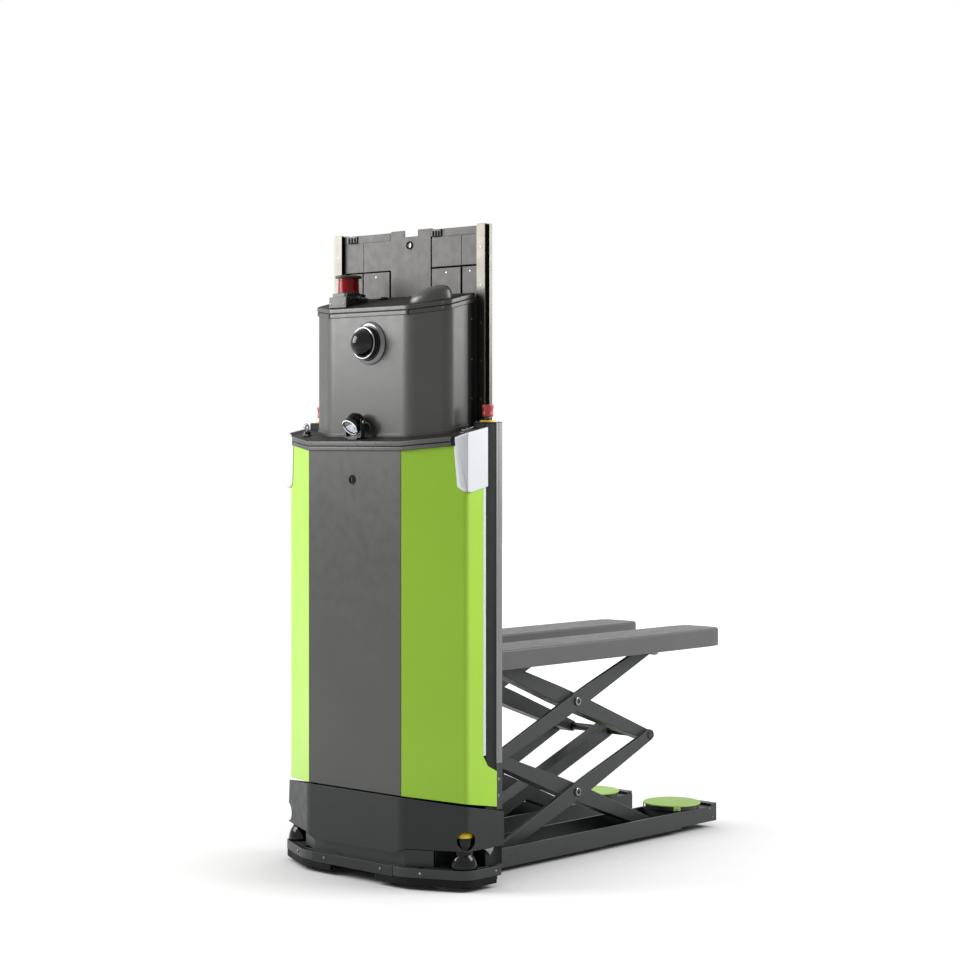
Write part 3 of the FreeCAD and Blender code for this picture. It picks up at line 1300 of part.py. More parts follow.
def make_fork():
    """The left fork with its pivot lug, roller track and upright heel."""
    low = FORK_TOP_Z - FORK_HEIGHT
    plate_low = FORK_TOP_Z - FORK_TOP_T
    nose_x, lead_x = FORK_TIP_X - FORK_NOSE, FORK_TIP_X - FORK_NOSE - FORK_NOSE_LEAD
    small = FORK_NOSE_TAPER / 3.0
    plan = [(FORK_ROOT_X, FORK_IN), (lead_x, FORK_IN), (nose_x, FORK_IN + small),
            (FORK_TIP_X, FORK_IN + FORK_NOSE_TAPER), (FORK_TIP_X, FORK_OUT - FORK_NOSE_TAPER),
            (nose_x, FORK_OUT - small), (lead_x, FORK_OUT), (FORK_ROOT_X, FORK_OUT)]
    outer = plan_prism(plan, low, FORK_TOP_Z)
    rim = [edge for edge in top_edges(outer) if edge.CenterOfMass.x > FORK_ROOT_X + SEAM]
    outer = outer.makeFillet(FORK_EDGE_R, rim)
    root_x = FORK_ROOT_X + FORK_SOLID_ROOT
    fork = outer.cut(block(root_x, nose_x - FORK_SOLID_NOSE, FORK_IN + FORK_SKIRT_T,
                           FORK_OUT - FORK_SKIRT_T, 0.0, plate_low))
    x, z = end_pin(2, False)
    lug_out = INNER_ARM_Y - INNER_ARM_T - ROLLER_SIDE_GAP
    lug_in = lug_out - LUG_T
    track_x = end_pin(2, True)[0] - TRACK_LEAD
    heel = side_prism([(BACK_X + BACK_T + RUN_GAP, low + HEEL_LOW), (root_x, low), (root_x, plate_low),
                       (FORK_ROOT_X + HEEL_STEP_X, FORK_TOP_Z + HEEL_STEP_Z),
                       (BACK_X + BACK_T + RUN_GAP, FORK_TOP_Z + HEEL_RISE)],
                      FORK_IN + HEEL_INSET, BACK_HALF - BRACKET_LONG - HEEL_TO_BRACKET)
    return fuse([fork, heel, cross_rod(x, z, ARM_END_R, lug_in, lug_out),
                 block(x - ARM_END_R, x + ARM_END_R, lug_in, lug_out, z, plate_low),
                 block(track_x, PIVOT_X + ARM_LENGTH + TRACK_TAIL, OUTER_ARM_Y + ROLLER_SIDE_GAP / 2.0,
                       OUTER_ARM_Y + 1.5 * ROLLER_SIDE_GAP + ROLLER_W, z + ROLLER_R + RUN_GAP, plate_low),
                 cross_rod(x, z, PIN_R, lug_in, INNER_ARM_Y)])


def make_backrest():
    wing = TOP_Z - BACK_WING_DROP
    notch_z = TOP_Z - NOTCH_DEPTH
    outline = [(-BACK_HALF, BACK_LOW_Z), (BACK_HALF, BACK_LOW_Z), (BACK_HALF, wing),
               (BACK_CROWN_LEFT, wing), (BACK_CROWN_LEFT, TOP_Z), (NOTCH_LEFT, TOP_Z),
               (NOTCH_LEFT, notch_z), (-NOTCH_RIGHT, notch_z), (-NOTCH_RIGHT, TOP_Z),
               (-BACK_CROWN_RIGHT, TOP_Z), (-BACK_CROWN_RIGHT, wing), (-BACK_HALF, wing)]
    plate = front_prism(outline, BACK_X, BACK_X + BACK_T)
    return [plate.cut(rod(0.0, 0.0, TOP_Z - LIFT_HOLE_DROP, LIFT_HOLE_R, FAR, (1, 0, 0)))]


def make_rails():
    outer = block(RAIL_X0, RAIL_X0 + RAIL_DEEP, RAIL_IN, RAIL_OUT, RAIL_LOW_Z, TOP_Z)
    slot = block(RAIL_X0 + RAIL_DEEP / 2.0, FAR, RAIL_IN + RAIL_WALL, RAIL_OUT - RAIL_WALL, 0.0, FAR)
    return both(outer.cut(slot))


def make_rail_brackets():
    """Brackets between the backrest and the rails, and two clips at its top edge."""
    x0 = BACK_X + BACK_T + RUN_GAP
    x1 = RAIL_X0 + RAIL_DEEP
    high_z = TOP_Z - BRACKET_TOP_DROP
    solids = []
    for z in (BRACKET_LOW_Z, (BRACKET_LOW_Z + high_z) / 2.0, high_z):
        solids += both(block(x0, x1, BACK_HALF - BRACKET_LONG, RAIL_IN - RUN_GAP, z, z + BRACKET_HIGH))
    front = BACK_X - RUN_GAP
    wing = BACK_HALF - CLIP_WING_GAP
    crown = -BACK_CROWN_RIGHT - CLIP_CROWN_GAP
    for y0, y1 in ((wing - CLIP_WING_LONG, wing), (crown - CLIP_CROWN_LONG, crown)):
        solids.append(block(front - CLIP_T, front, y0, y1, TOP_Z - CLIP_DROP,
                            TOP_Z - BACK_WING_DROP - CLIP_LIFT))
    return solids


def main():
    os.makedirs("parts", exist_ok=True)
    save("base_frame", make_base_frame())
    save("legs", make_legs())
    save("bumper_strip", make_bumper_strip())
    save("bumper_corners", make_bumper_corners())
    save("skirt", make_skirt())
    save("front_panel", make_front_panel())
    save("side_panels", make_side_panels())
    save("deck", make_deck())
    save("corner_fairings", make_fairings())
    save("light_strips", make_light_strips())
    save("mast_channels", make_masts())
    save("rear_wall", make_rear_wall())
    save("head_shell", make_head_shell())
    save("head_cap", make_head_cap())
    save("cap_bulge", make_cap_bulge())
    save("camera_housing", make_camera_housing())
    save("camera_dome", make_camera_dome())
    save("lidar_body", make_lidar_body())
    save("lidar_window", make_lidar_window())
    save("lidar_cap", make_lidar_cap())
    save("lidar_rotor", make_lidar_rotor())
    save("scanner_lead", make_scanner_lead())
    save("work_light_bracket", make_light_bracket())
    save("work_light_body", make_light_body())
    save("work_light_lens", make_light_lens())
    save("work_light_lead", make_light_lead())
    save("stop_collars", make_stop_collars())
    button = make_stop_button()
    save("stop_button_left", [button])
    save("stop_button_right", [mirrored(button)])
    save("key_switch", make_key_switch())
    save("key", make_key())
    save("front_lock", make_front_lock())
    save("guard_scanners", make_guard_bodies())
    save("guard_caps", make_guard_caps())
    save("battery", make_battery())
    save("controller", make_controller())
    save("lift_drive", make_lift_drive())
    save("base_pivot_shaft", make_base_shaft())
    for name, side in (("left", 1), ("right", -1)):
        save("drive_yoke_" + name, [make_drive_yoke(side)])
        save("drive_wheel_" + name,
             [make_wheel(DRIVE_X, side * DRIVE_Y, FRONT_WHEEL_R, FRONT_WHEEL_W, FRONT_AXLE_R)])
        save("turntable_" + name, [make_turntable(side)])
        save("leg_wheel_" + name,
             [make_wheel(TABLE_X, side * TABLE_Y, REAR_WHEEL_R, REAR_WHEEL_W, REAR_AXLE_R)])
    save("lower_outer_arms", make_lower_outer_arms())
    save("lower_pins", make_lower_pins())
    save("lower_inner_arms", make_lower_inner_arms())
    save("foot_rollers", make_foot_rollers())
    save("upper_inner_arms", make_upper_inner_arms())
    save("upper_pins", make_upper_pins())
    save("upper_outer_arms", make_upper_outer_arms())
    save("front_links", make_front_links())
    save("fork_rollers", make_fork_rollers())
    fork = make_fork()
    save("fork_left", [fork])
    save("fork_right", [mirrored(fork)])
    save("backrest", make_backrest())
    save("rails", make_rails())
    save("rail_brackets", make_rail_brackets())


main()
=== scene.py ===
"""Looks of an autonomous mobile robot: a sensor tower, two legs and a scissor fork lift.

Measures are millimetres: X runs back from the face of the front panel, Y is zero in the
middle and Z is zero on the floor. spot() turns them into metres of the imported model.
"""
import json
import math

import bmesh
import bpy
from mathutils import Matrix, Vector

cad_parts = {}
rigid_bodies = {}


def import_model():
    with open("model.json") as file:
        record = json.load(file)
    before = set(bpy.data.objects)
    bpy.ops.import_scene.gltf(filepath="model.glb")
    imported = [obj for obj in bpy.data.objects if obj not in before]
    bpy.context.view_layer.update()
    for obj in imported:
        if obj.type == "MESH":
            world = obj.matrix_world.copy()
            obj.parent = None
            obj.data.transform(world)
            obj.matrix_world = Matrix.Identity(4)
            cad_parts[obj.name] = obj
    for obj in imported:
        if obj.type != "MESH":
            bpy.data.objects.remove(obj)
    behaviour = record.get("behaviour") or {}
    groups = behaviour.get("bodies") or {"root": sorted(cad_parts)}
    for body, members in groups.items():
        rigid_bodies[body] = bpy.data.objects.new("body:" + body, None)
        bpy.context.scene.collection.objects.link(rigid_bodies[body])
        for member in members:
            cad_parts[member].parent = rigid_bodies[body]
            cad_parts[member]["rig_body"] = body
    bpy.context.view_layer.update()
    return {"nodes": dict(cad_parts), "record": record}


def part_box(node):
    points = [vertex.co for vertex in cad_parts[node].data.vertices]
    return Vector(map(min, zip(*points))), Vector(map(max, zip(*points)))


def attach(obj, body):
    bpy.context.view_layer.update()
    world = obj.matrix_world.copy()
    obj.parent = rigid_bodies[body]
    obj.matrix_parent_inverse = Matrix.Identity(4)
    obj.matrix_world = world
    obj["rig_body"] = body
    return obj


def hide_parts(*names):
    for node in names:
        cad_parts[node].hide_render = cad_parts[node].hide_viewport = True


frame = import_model()

MM = 0.001
FACE_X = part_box("front_panel")[0][0]

# Tower plan, deck and head, as in the part
FRONT_HALF, SIDE_HALF, FOLD_X = 208.0, 400.0, 94.0
CHAMFER = (SIDE_HALF - FRONT_HALF) / FOLD_X
DECK_Z, DECK_SLOPE, DECK_OUT = 1380.0, 0.21, 5.0
HEAD_X, HEAD_FRONT_HALF, HEAD_HALF = 62.0, 177.0, 300.0
CAP_Z, CAP_SLOPE, CAP_OUT, CAP_T = 1805.0, 0.24, 1.5, 30.0
TOWER_REAR_X, HEAD_SHELL_X = 234.0, 205.0
MAST_OUT, MAST_TOP_Z = 396.0, 1440.0
BACK_X, LEG_OUT = 250.0, 278.0
BUMPER_FRONT_HALF, BUMPER_HALF, BUMPER_OUT, BUMPER_TOP_Z = 226.0, 416.0, 8.0, 66.0
STRIP_LOW_Z = 35.0
STOP_X, STOP_Y, STOP_BASE_Z = 216.0, 373.5, 1456.3

UP, AHEAD, RIGHT = (0, 0, 1), (-1, 0, 0), (0, -1, 0)


def spot(x, y, z):
    """A place given in millimetres of the measuring frame, as metres of the model."""
    return Vector((FACE_X + x * MM, y * MM, z * MM))


def extent(node):
    """The lowest and highest corners of a node in millimetres of the measuring frame."""
    low, high = (Vector(corner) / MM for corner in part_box(node))
    shift = Vector((FACE_X / MM, 0.0, 0.0))
    return low - shift, high - shift


def deck_height(x):
    return DECK_Z + DECK_SLOPE * (x + DECK_OUT)


def cap_height(x):
    return CAP_Z + CAP_SLOPE * (x - HEAD_X)


# Camera

CAMERA_SPOT = (-4804.4, -4980.6, 1388.7)
CAMERA_HEADING = 42.743
CAMERA_LENS = 82.25
CAMERA_SHIFT = -0.0433

camera = bpy.data.objects.new("camera", bpy.data.cameras.new("camera"))
camera.data.lens = CAMERA_LENS
camera.data.sensor_width = 36.0
camera.data.shift_y = CAMERA_SHIFT
camera.data.clip_end = 60.0
camera.location = spot(*CAMERA_SPOT)
camera.rotation_euler = (math.radians(90.0), 0.0, math.radians(CAMERA_HEADING - 90.0))
bpy.context.collection.objects.link(camera)
bpy.context.scene.camera = camera


# Materials

def linear(red, green, blue):
    """A display colour, 0 to 255, as linear light."""
    parts = [value / 255.0 for value in (red, green, blue)]
    return [part / 12.92 if part < 0.04045 else ((part + 0.055) / 1.055) ** 2.4 for part in parts]


RANGE_KEYS = ("From Min", "From Max", "To Min", "To Max")


class Finish:
    """A procedural material around one shader, in the coordinates of the piece."""

    def __init__(self, name, colour, rough, metal=0.0, **sockets):
        self.material = bpy.data.materials.new(name)
        self.material.use_nodes = True
        self.nodes = self.material.node_tree.nodes
        self.links = self.material.node_tree.links
        self.shader = self.nodes["Principled BSDF"]
        self.colour, self.rough = linear(*colour), rough
        self.shader.inputs["Metallic"].default_value = metal
        for socket, value in sockets.items():
            self.shader.inputs[socket.replace("_", " ")].default_value = value
        self.place = self.add("ShaderNodeTexCoord").outputs["Object"]
        self.tone = None

    def add(self, kind, **settings):
        node = self.nodes.new(kind)
        for key, value in settings.items():
            setattr(node, key, value)
        return node

    def noise(self, size, detail=3.0, stretch=None):
        """Noise whose blobs are about size metres across, drawn out along an axis by stretch."""
        place = self.place
        if stretch:
            mapping = self.add("ShaderNodeMapping")
            mapping.inputs["Scale"].default_value = stretch
            self.links.new(place, mapping.inputs["Vector"])
            place = mapping.outputs["Vector"]
        node = self.add("ShaderNodeTexNoise")
        node.inputs["Scale"].default_value = 1.0 / size
        node.inputs["Detail"].default_value = detail
        self.links.new(place, node.inputs["Vector"])
        return node.outputs["Fac"]

    def ramp(self, value, low, high, out_low, out_high):
        node = self.add("ShaderNodeMapRange")
        self.links.new(value, node.inputs["Value"])
        for key, number in zip(RANGE_KEYS, (low, high, out_low, out_high)):
            node.inputs[key].default_value = number
        return node.outputs["Result"]

    def blend(self, factor, first, second):
        """Mixes two colours, each a constant or a socket."""
        node = self.add("ShaderNodeMix", data_type="RGBA")
        self.links.new(factor, node.inputs[0])
        for socket, value in ((node.inputs[6], first), (node.inputs[7], second)):
            if isinstance(value, bpy.types.NodeSocket):
                self.links.new(value, socket)
            else:
                socket.default_value = (*value, 1.0)
        return node.outputs[2]

    def drift(self, amount, size=0.18, detail=3.0, stretch=None):
        """Slow change of tone over the surface."""
        cloud = self.ramp(self.noise(size, detail, stretch), 0.3, 0.7, 0.0, 1.0)
        dark = [part * (1.0 - amount) for part in self.colour]
        light = [min(1.0, part * (1.0 + amount)) for part in self.colour]
        self.tone = self.blend(cloud, dark, light)
        return self

    def speckle(self, colour, size, share=0.62):
        """Small flecks of another colour."""
        mask = self.ramp(self.noise(size, 1.0), share, share + 0.06, 0.0, 1.0)
        self.tone = self.blend(mask, self.tone, linear(*colour))
        return self

    def wear_and_edge_highlight(self, colour, radius=0.0016, size=0.012):
        """Lighter edges, partly where the coat has rubbed thin and partly a painted highlight along every edge,
        broken up by noise.
        """
        round_off = self.add("ShaderNodeBevel", samples=3)
        round_off.inputs["Radius"].default_value = radius
        true = self.add("ShaderNodeNewGeometry").outputs["Normal"]
        dot = self.add("ShaderNodeVectorMath", operation="DOT_PRODUCT")
        self.links.new(round_off.outputs["Normal"], dot.inputs[0])
        self.links.new(true, dot.inputs[1])
        edge = self.ramp(dot.outputs["Value"], 0.99, 0.90, 0.0, 1.0)
        broken = self.ramp(self.noise(size, 4.0), 0.42, 0.62, 0.15, 0.9)
        both = self.add("ShaderNodeMath", operation="MULTIPLY")
        self.links.new(edge, both.inputs[0])
        self.links.new(broken, both.inputs[1])
        self.tone = self.blend(both.outputs["Value"], self.tone, linear(*colour))
        return self

    def skin(self, size, height, detail=2.0, stretch=None, spread=0.12):
        """Fine relief of the surface, and the uneven gloss that comes with it."""
        bump = self.add("ShaderNodeBump")
        bump.inputs["Distance"].default_value = height
        self.links.new(self.noise(size, detail, stretch), bump.inputs["Height"])
        self.links.new(bump.outputs["Normal"], self.shader.inputs["Normal"])
        gloss = self.ramp(self.noise(size * 30.0, 4.0), 0.3, 0.7,
                          self.rough * (1.0 - spread), self.rough * (1.0 + spread))
        self.links.new(gloss, self.shader.inputs["Roughness"])
        return self

    def done(self):
        if self.tone is None:
            self.drift(0.05)
        self.links.new(self.tone, self.shader.inputs["Base Color"])
        if not self.shader.inputs["Roughness"].is_linked:
            self.shader.inputs["Roughness"].default_value = self.rough
        return self.material


def powder(name, colour, rough, edge, grain=0.0011, relief=0.00005, shine=0.5):
    """Powder coat: orange peel, slow tone drift, and lighter edges that are partly wear and partly painted
    highlight.
    """
    finish = Finish(name, colour, rough, Specular_IOR_Level=shine)
    return finish.drift(0.05).wear_and_edge_highlight(edge).skin(grain, relief).done()


def gloss_paint(name, colour, rough):
    finish = Finish(name, colour, rough, Specular_IOR_Level=0.4, Coat_Weight=0.15, Coat_Roughness=0.12)
    return finish.drift(0.03, 0.35).skin(0.004, 0.00003, 1.0).done()


def plastic(name, colour, rough, relief=0.00004):
    return Finish(name, colour, rough).drift(0.06, 0.05).skin(0.0007, relief).done()


def steel(name, colour, rough, stretch=None, relief=0.00001):
    finish = Finish(name, colour, rough, metal=1.0)
    return finish.drift(0.08, 0.02, 4.0, stretch).skin(0.0012, relief, 3.0, stretch).done()


ALONG_Z = (1.0, 1.0, 0.02)
# The fourth colour of each powder coat is its lighter edge colour: part wear, part painted highlight.
DARK = powder("dark_panel_coat", (60, 60, 58), 0.34, (96, 96, 93), shine=0.45)
LIP = powder("rim_coat", (56, 56, 54), 0.3, (116, 116, 113), shine=0.4)
# A lighter copy of the rim coat for the deck's rims: a painted highlight.
DECK_LIP_HIGHLIT = powder("deck_rim_painted_highlight", (74, 74, 72), 0.3, (140, 140, 137), shine=0.5)
DECK = powder("deck_coat", (29, 29, 28), 0.6, (96, 96, 94), shine=0.13)
SKIRT = powder("skirt_coat", (36, 39, 38), 0.45, (70, 72, 70), shine=0.28)
ANTHRACITE = powder("anthracite_coat", (43, 47, 46), 0.42, (84, 87, 85), 0.0009, 0.00008, 0.4)
MAST = powder("mast_coat", (20, 22, 22), 0.5, (58, 60, 59), shine=0.15)
GREY_COAT = powder("backrest_coat", (92, 90, 87), 0.46, (122, 120, 116), shine=0.25)
FORK_COAT = powder("fork_coat", (80, 81, 80), 0.46, (108, 108, 106), 0.0012, 0.0001, 0.4)
GREEN = gloss_paint("green_coat", (156, 203, 46), 0.36)
DISC_GREEN = powder("disc_coat", (146, 182, 84), 0.5, (170, 196, 130), 0.0014, 0.00012)
WHITE = gloss_paint("white_shell", (212, 214, 217), 0.38)
STRIP_LIGHT = Finish("strip_diffuser", (235, 238, 240), 0.35, Transmission_Weight=0.25,
                     Subsurface_Weight=0.2).drift(0.02, 0.05).skin(0.002, 0.00002).done()
RUBBER = Finish("bumper_rubber", (15, 16, 16), 0.65,
                Specular_IOR_Level=0.15).drift(0.12, 0.04, 4.0).skin(0.0009, 0.0001).done()
CABLE = Finish("cable_jacket", (24, 24, 25), 0.42).drift(0.1, 0.01).skin(0.0008, 0.00002).done()
BLACK = plastic("black_moulding", (22, 22, 23), 0.45)
# Near-black without gloss: painted shade for the gaps between panels, beside the rails and round the lift hole.
GAP_SHADE = Finish("shadow_gap", (8, 8, 8), 0.9,
               Specular_IOR_Level=0.0).drift(0.2, 0.05).skin(0.002, 0.00003).done()
GLOSS_BLACK = Finish("gloss_black", (7, 7, 8), 0.1, Specular_IOR_Level=0.22, Coat_Weight=0.05,
                     Coat_Roughness=0.04).drift(0.1, 0.03).skin(0.003, 0.000006, 1.0).done()
BULGE = plastic("bulge_moulding", (52, 52, 50), 0.36, 0.00002)
SILVER = steel("silver_profile", (114, 114, 113), 0.4, ALONG_Z)
POLISHED = steel("polished_rail", (80, 78, 73), 0.3, ALONG_Z, 0.000004)
STEEL = steel("turned_steel", (118, 118, 116), 0.34)
ZINC = steel("zinc_screw", (132, 133, 132), 0.32)
CHROME = steel("chrome", (120, 122, 124), 0.16, None, 0.000002)
FLANGE = steel("camera_flange_metal", (96, 97, 98), 0.22, None, 0.000004)
MIRROR = steel("lamp_mirror", (226, 228, 230), 0.14, None, 0.000002)
CAST = powder("scanner_casting", (100, 100, 98), 0.42, (120, 120, 118), shine=0.25)
RED_WINDOW = Finish("red_window", (140, 4, 8), 0.16, Specular_IOR_Level=0.12,
                    Transmission_Weight=0.1).drift(0.15, 0.03).skin(0.004, 0.000008, 1.0).done()
RED = Finish("red_button", (160, 30, 26), 0.35,
             Coat_Weight=0.2).drift(0.06, 0.02).skin(0.001, 0.00001).done()
YELLOW = plastic("yellow_moulding", (240, 203, 44), 0.38, 0.00002)
DARK_GLASS = Finish("dark_glass", (10, 10, 11), 0.04, Specular_IOR_Level=0.16, Transmission_Weight=0.4,
                    IOR=1.45).drift(0.05, 0.05).skin(0.01, 0.000002, 1.0, None, 0.3).done()
LAMP_GLASS = Finish("lamp_glass", (240, 243, 246), 0.05, Transmission_Weight=0.95,
                    IOR=1.45).drift(0.02, 0.01).skin(0.004, 0.00001, 1.0).done()
LABEL_GREY = plastic("case_grey", (96, 98, 100), 0.45)
BATTERY = plastic("battery_moulding", (44, 45, 48), 0.5, 0.00008)
TREAD = Finish("wheel_tread", (58, 56, 54), 0.6).drift(0.15, 0.03, 4.0).skin(0.0015, 0.00012).done()


# Mesh tools: each piece is collected in millimetres of the measuring frame

STEEP = 0.9
SAME_SPOT = 0.000002
BEVEL_STEPS = 2

class Shape:
    """Geometry of one piece."""

    def __init__(self):
        self.bm = bmesh.new()

    def loop(self, points):
        return [self.bm.verts.new(point) for point in points]

    def close(self, first, second, ring=True):
        """Faces between two rows of points of the same length."""
        count = len(first)
        for index in range(count if ring else count - 1):
            after = (index + 1) % count
            self.bm.faces.new((first[index], first[after], second[after], second[index]))

    def prism(self, outline, low, high):
        """A solid over a plan outline between two heights, each a number or a rule of x."""
        level = [rule if callable(rule) else (lambda x, z=rule: z) for rule in (low, high)]
        rows = [self.loop([(x, y, rule(x)) for x, y in outline]) for rule in level]
        self.close(*rows)
        for row in rows:
            self.bm.faces.new(row)
        return self

    def box(self, low, high):
        (x0, y0, z0), (x1, y1, z1) = low, high
        return self.prism([(x0, y0), (x1, y0), (x1, y1), (x0, y1)], z0, z1)

    def facet(self, outline, y0, y1):
        """A plate drawn from the side, as X and Z pairs, between two stations of Y."""
        rows = [self.loop([(x, y, z) for x, z in outline]) for y in (y0, y1)]
        self.close(*rows)
        for row in rows:
            self.bm.faces.new(row)
        return self

    def lathe(self, base, axis, profile, sides=48, phase=0.0):
        """Turns (radius, distance) pairs about an axis; a radius of zero closes the end."""
        base, axis = Vector(base), Vector(axis).normalized()
        guide = Vector((0.0, 0.0, 1.0)) if abs(axis.z) < STEEP else Vector((0.0, 1.0, 0.0))
        side = axis.cross(guide).normalized()
        up = axis.cross(side)
        rows = []
        for radius, height in profile:
            centre = base + axis * height
            if radius == 0.0:
                rows.append([self.bm.verts.new(centre)])
                continue
            turns = [phase + math.tau * step / sides for step in range(sides)]
            rows.append(self.loop([centre + (side * math.cos(turn) + up * math.sin(turn)) * radius
                                   for turn in turns]))
        for first, second in zip(rows, rows[1:]):
            if len(first) == 1 and len(second) > 1:
                for index in range(sides):
                    self.bm.faces.new((first[0], second[index], second[(index + 1) % sides]))
            elif len(second) == 1 and len(first) > 1:
                for index in range(sides):
                    self.bm.faces.new((second[0], first[(index + 1) % sides], first[index]))
            elif len(first) > 1:
                self.close(first, second)
        for row, keep in ((rows[0], profile[0] != profile[-1]), (rows[-1], profile[0] != profile[-1])):
            if len(row) > 1 and keep:
                self.bm.faces.new(row)
        return self

    def ring(self, base, axis, profile, sides=48):
        """Turns a closed profile into a ring."""
        return self.lathe(base, axis, list(profile) + [profile[0]], sides)

    def band(self, path, low, high, inner, outer):
        """A wall along an open plan path, from inner to outer beside it, between two heights."""
        near, far = offset(path, inner), offset(path, outer)
        level = [rule if callable(rule) else (lambda x, z=rule: z) for rule in (low, high)]
        rows = [self.loop([(x, y, rule(x)) for x, y in line])
                for line, rule in ((near, level[0]), (far, level[0]), (far, level[1]), (near, level[1]))]
        for first, second in zip(rows, rows[1:] + rows[:1]):
            self.close(first, second, ring=False)
        for end in (0, -1):
            self.bm.faces.new([row[end] for row in rows])
        return self

    def tube(self, points, radius, sides=10):
        """A round bar along points, closed at both ends."""
        points = [Vector(point) for point in points]
        rows = []
        for index, point in enumerate(points):
            ahead = points[min(index + 1, len(points) - 1)] - points[max(index - 1, 0)]
            ahead.normalize()
            side = ahead.cross(Vector((0.31, 0.17, 0.93))).normalized()
            up = ahead.cross(side)
            rows.append(self.loop([point + (side * math.cos(math.tau * step / sides)
                                            + up * math.sin(math.tau * step / sides)) * radius
                                   for step in range(sides)]))
        for first, second in zip(rows, rows[1:]):
            self.close(first, second)
        self.bm.faces.new(rows[0])
        self.bm.faces.new(rows[-1])
        return self

    def screw(self, place, axis, radius, rise=None, kind="button"):
        """A screw head: button with a hexagon socket, a hexagon, or a flat disc."""
        rise = rise or radius * 0.55
        if kind == "hex":
            profile = [(radius, -1.0), (radius, rise * 0.8), (radius * 0.86, rise), (0.0, rise)]
            return self.lathe(place, axis, profile, 6)
        if kind == "disc":
            profile = [(radius, -1.0), (radius, rise * 0.6), (radius * 0.9, rise), (0.0, rise)]
            return self.lathe(place, axis, profile, 24)
        profile = [(radius, -1.0), (radius, rise * 0.25), (radius * 0.86, rise * 0.75),
                   (radius * 0.6, rise), (radius * 0.45, rise)]
        socket = [(radius * 0.45, rise), (radius * 0.42, rise * 0.35), (0.0, rise * 0.25)]
        return self.lathe(place, axis, profile + socket, 18)

    def mirror(self):
        """Adds the copy on the other side of the middle plane."""
        copy = bmesh.ops.duplicate(self.bm, geom=self.bm.verts[:] + self.bm.edges[:] + self.bm.faces[:])
        fresh = [item for item in copy["geom"] if isinstance(item, bmesh.types.BMVert)]
        for vert in fresh:
            vert.co.y = -vert.co.y
        bmesh.ops.reverse_faces(self.bm, faces=[item for item in copy["geom"]
                                                if isinstance(item, bmesh.types.BMFace)])
        return self

    def show(self, name, material, body, slot, replaces=(), bevel=0.0, angle=34.0):
        for vert in self.bm.verts:
            vert.co = spot(*vert.co)
        return publish(name, self.bm, material, body, replaces, bevel, angle)


def offset(path, distance):
    """Moves an open plan path sideways, outwards for one that runs from -Y round the front to +Y."""
    moved = []
    for index, point in enumerate(path):
        normals = []
        for first, second in ((index - 1, index), (index, index + 1)):
            if first < 0 or second >= len(path):
                continue
            run = Vector(path[second]) - Vector(path[first])
            normals.append(Vector((-run.y, run.x)).normalized())
        normal = sum(normals, Vector((0.0, 0.0))) / len(normals)
        moved.append(Vector(point) + normal * (distance / normal.length_squared))
    return [tuple(point) for point in moved]


def rounded(path, reach, steps=5):
    """Rounds the inner corners of an open plan path, starting at the reach before and after each."""
    path = [Vector(point) for point in path]
    result = [path[0]]
    for before, corner, after in zip(path, path[1:], path[2:]):
        coming, going = (before - corner).normalized(), (after - corner).normalized()
        start, end = corner + coming * reach, corner + going * reach
        for step in range(steps + 1):
            share = step / steps
            result.append(start.lerp(corner, share).lerp(corner.lerp(end, share), share))
    return [tuple(point) for point in result + [path[-1]]]


def publish(name, bm, material, body, replaces, bevel, angle):
    """Turns collected geometry into a shaded piece that rides on a body."""
    bmesh.ops.remove_doubles(bm, verts=bm.verts, dist=SAME_SPOT)
    bmesh.ops.recalc_face_normals(bm, faces=bm.faces)
    mesh = bpy.data.meshes.new(name)
    bm.to_mesh(mesh)
    bm.free()
    mesh.materials.append(material)
    mesh.shade_smooth()
    piece = bpy.data.objects.new(name, mesh)
    bpy.context.collection.objects.link(piece)
    if bevel:
        edge = piece.modifiers.new("edges", "BEVEL")
        edge.width = bevel * MM
        edge.segments = BEVEL_STEPS
        edge.limit_method = "ANGLE"
        edge.angle_limit = math.radians(angle)
        edge.use_clamp_overlap = False
        piece.modifiers.new("normals", "WEIGHTED_NORMAL")
    else:
        mesh.set_sharp_from_angle(angle=math.radians(angle))
    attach(piece, body)
    if replaces:
        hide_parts(*replaces)
    return piece


# Pieces that keep a solid's shape

SLOTS = {row["node"]: row["material_slot"] for row in frame["record"]["subparts"]}
FOLD_LEAST, FOLD_MOST = math.radians(15.0), math.radians(75.0)
FOLD_STEPS, FOLD_LONG, UPRIGHT = 6, 0.06, 0.95
SHEET_AREA = 0.01
FACET_SEAM, FACET_ANGLE = 0.00001, math.radians(0.4)


def soften_folds(bm, reach):
    """Rounds the upright folds of a sheet, and leaves its cut edges alone."""
    folds = []
    bm.normal_update()
    for edge in bm.edges:
        run = edge.verts[1].co - edge.verts[0].co
        if run.length > FOLD_LONG and abs(run.z) > UPRIGHT * run.length and len(edge.link_faces) == 2:
            wide = all(face.calc_area() > SHEET_AREA for face in edge.link_faces)
            if wide and FOLD_LEAST < edge.calc_face_angle() < FOLD_MOST:
                folds.append(edge)
    bmesh.ops.bevel(bm, geom=folds, offset=reach * MM, offset_type="OFFSET", segments=FOLD_STEPS,
                    profile=0.5, affect="EDGES")


def lean(bm, along_x, along_y):
    """Leans the crown of a dome on the sloping cap, and leaves its foot in place."""
    heights = [(vert, (vert.co.z / MM) - cap_height((vert.co.x - FACE_X) / MM)) for vert in bm.verts]
    crown = max(height for vert, height in heights)
    for vert, height in heights:
        share = max(0.0, height / crown) ** 2
        vert.co.x += along_x * share * MM
        vert.co.y += along_y * share * MM


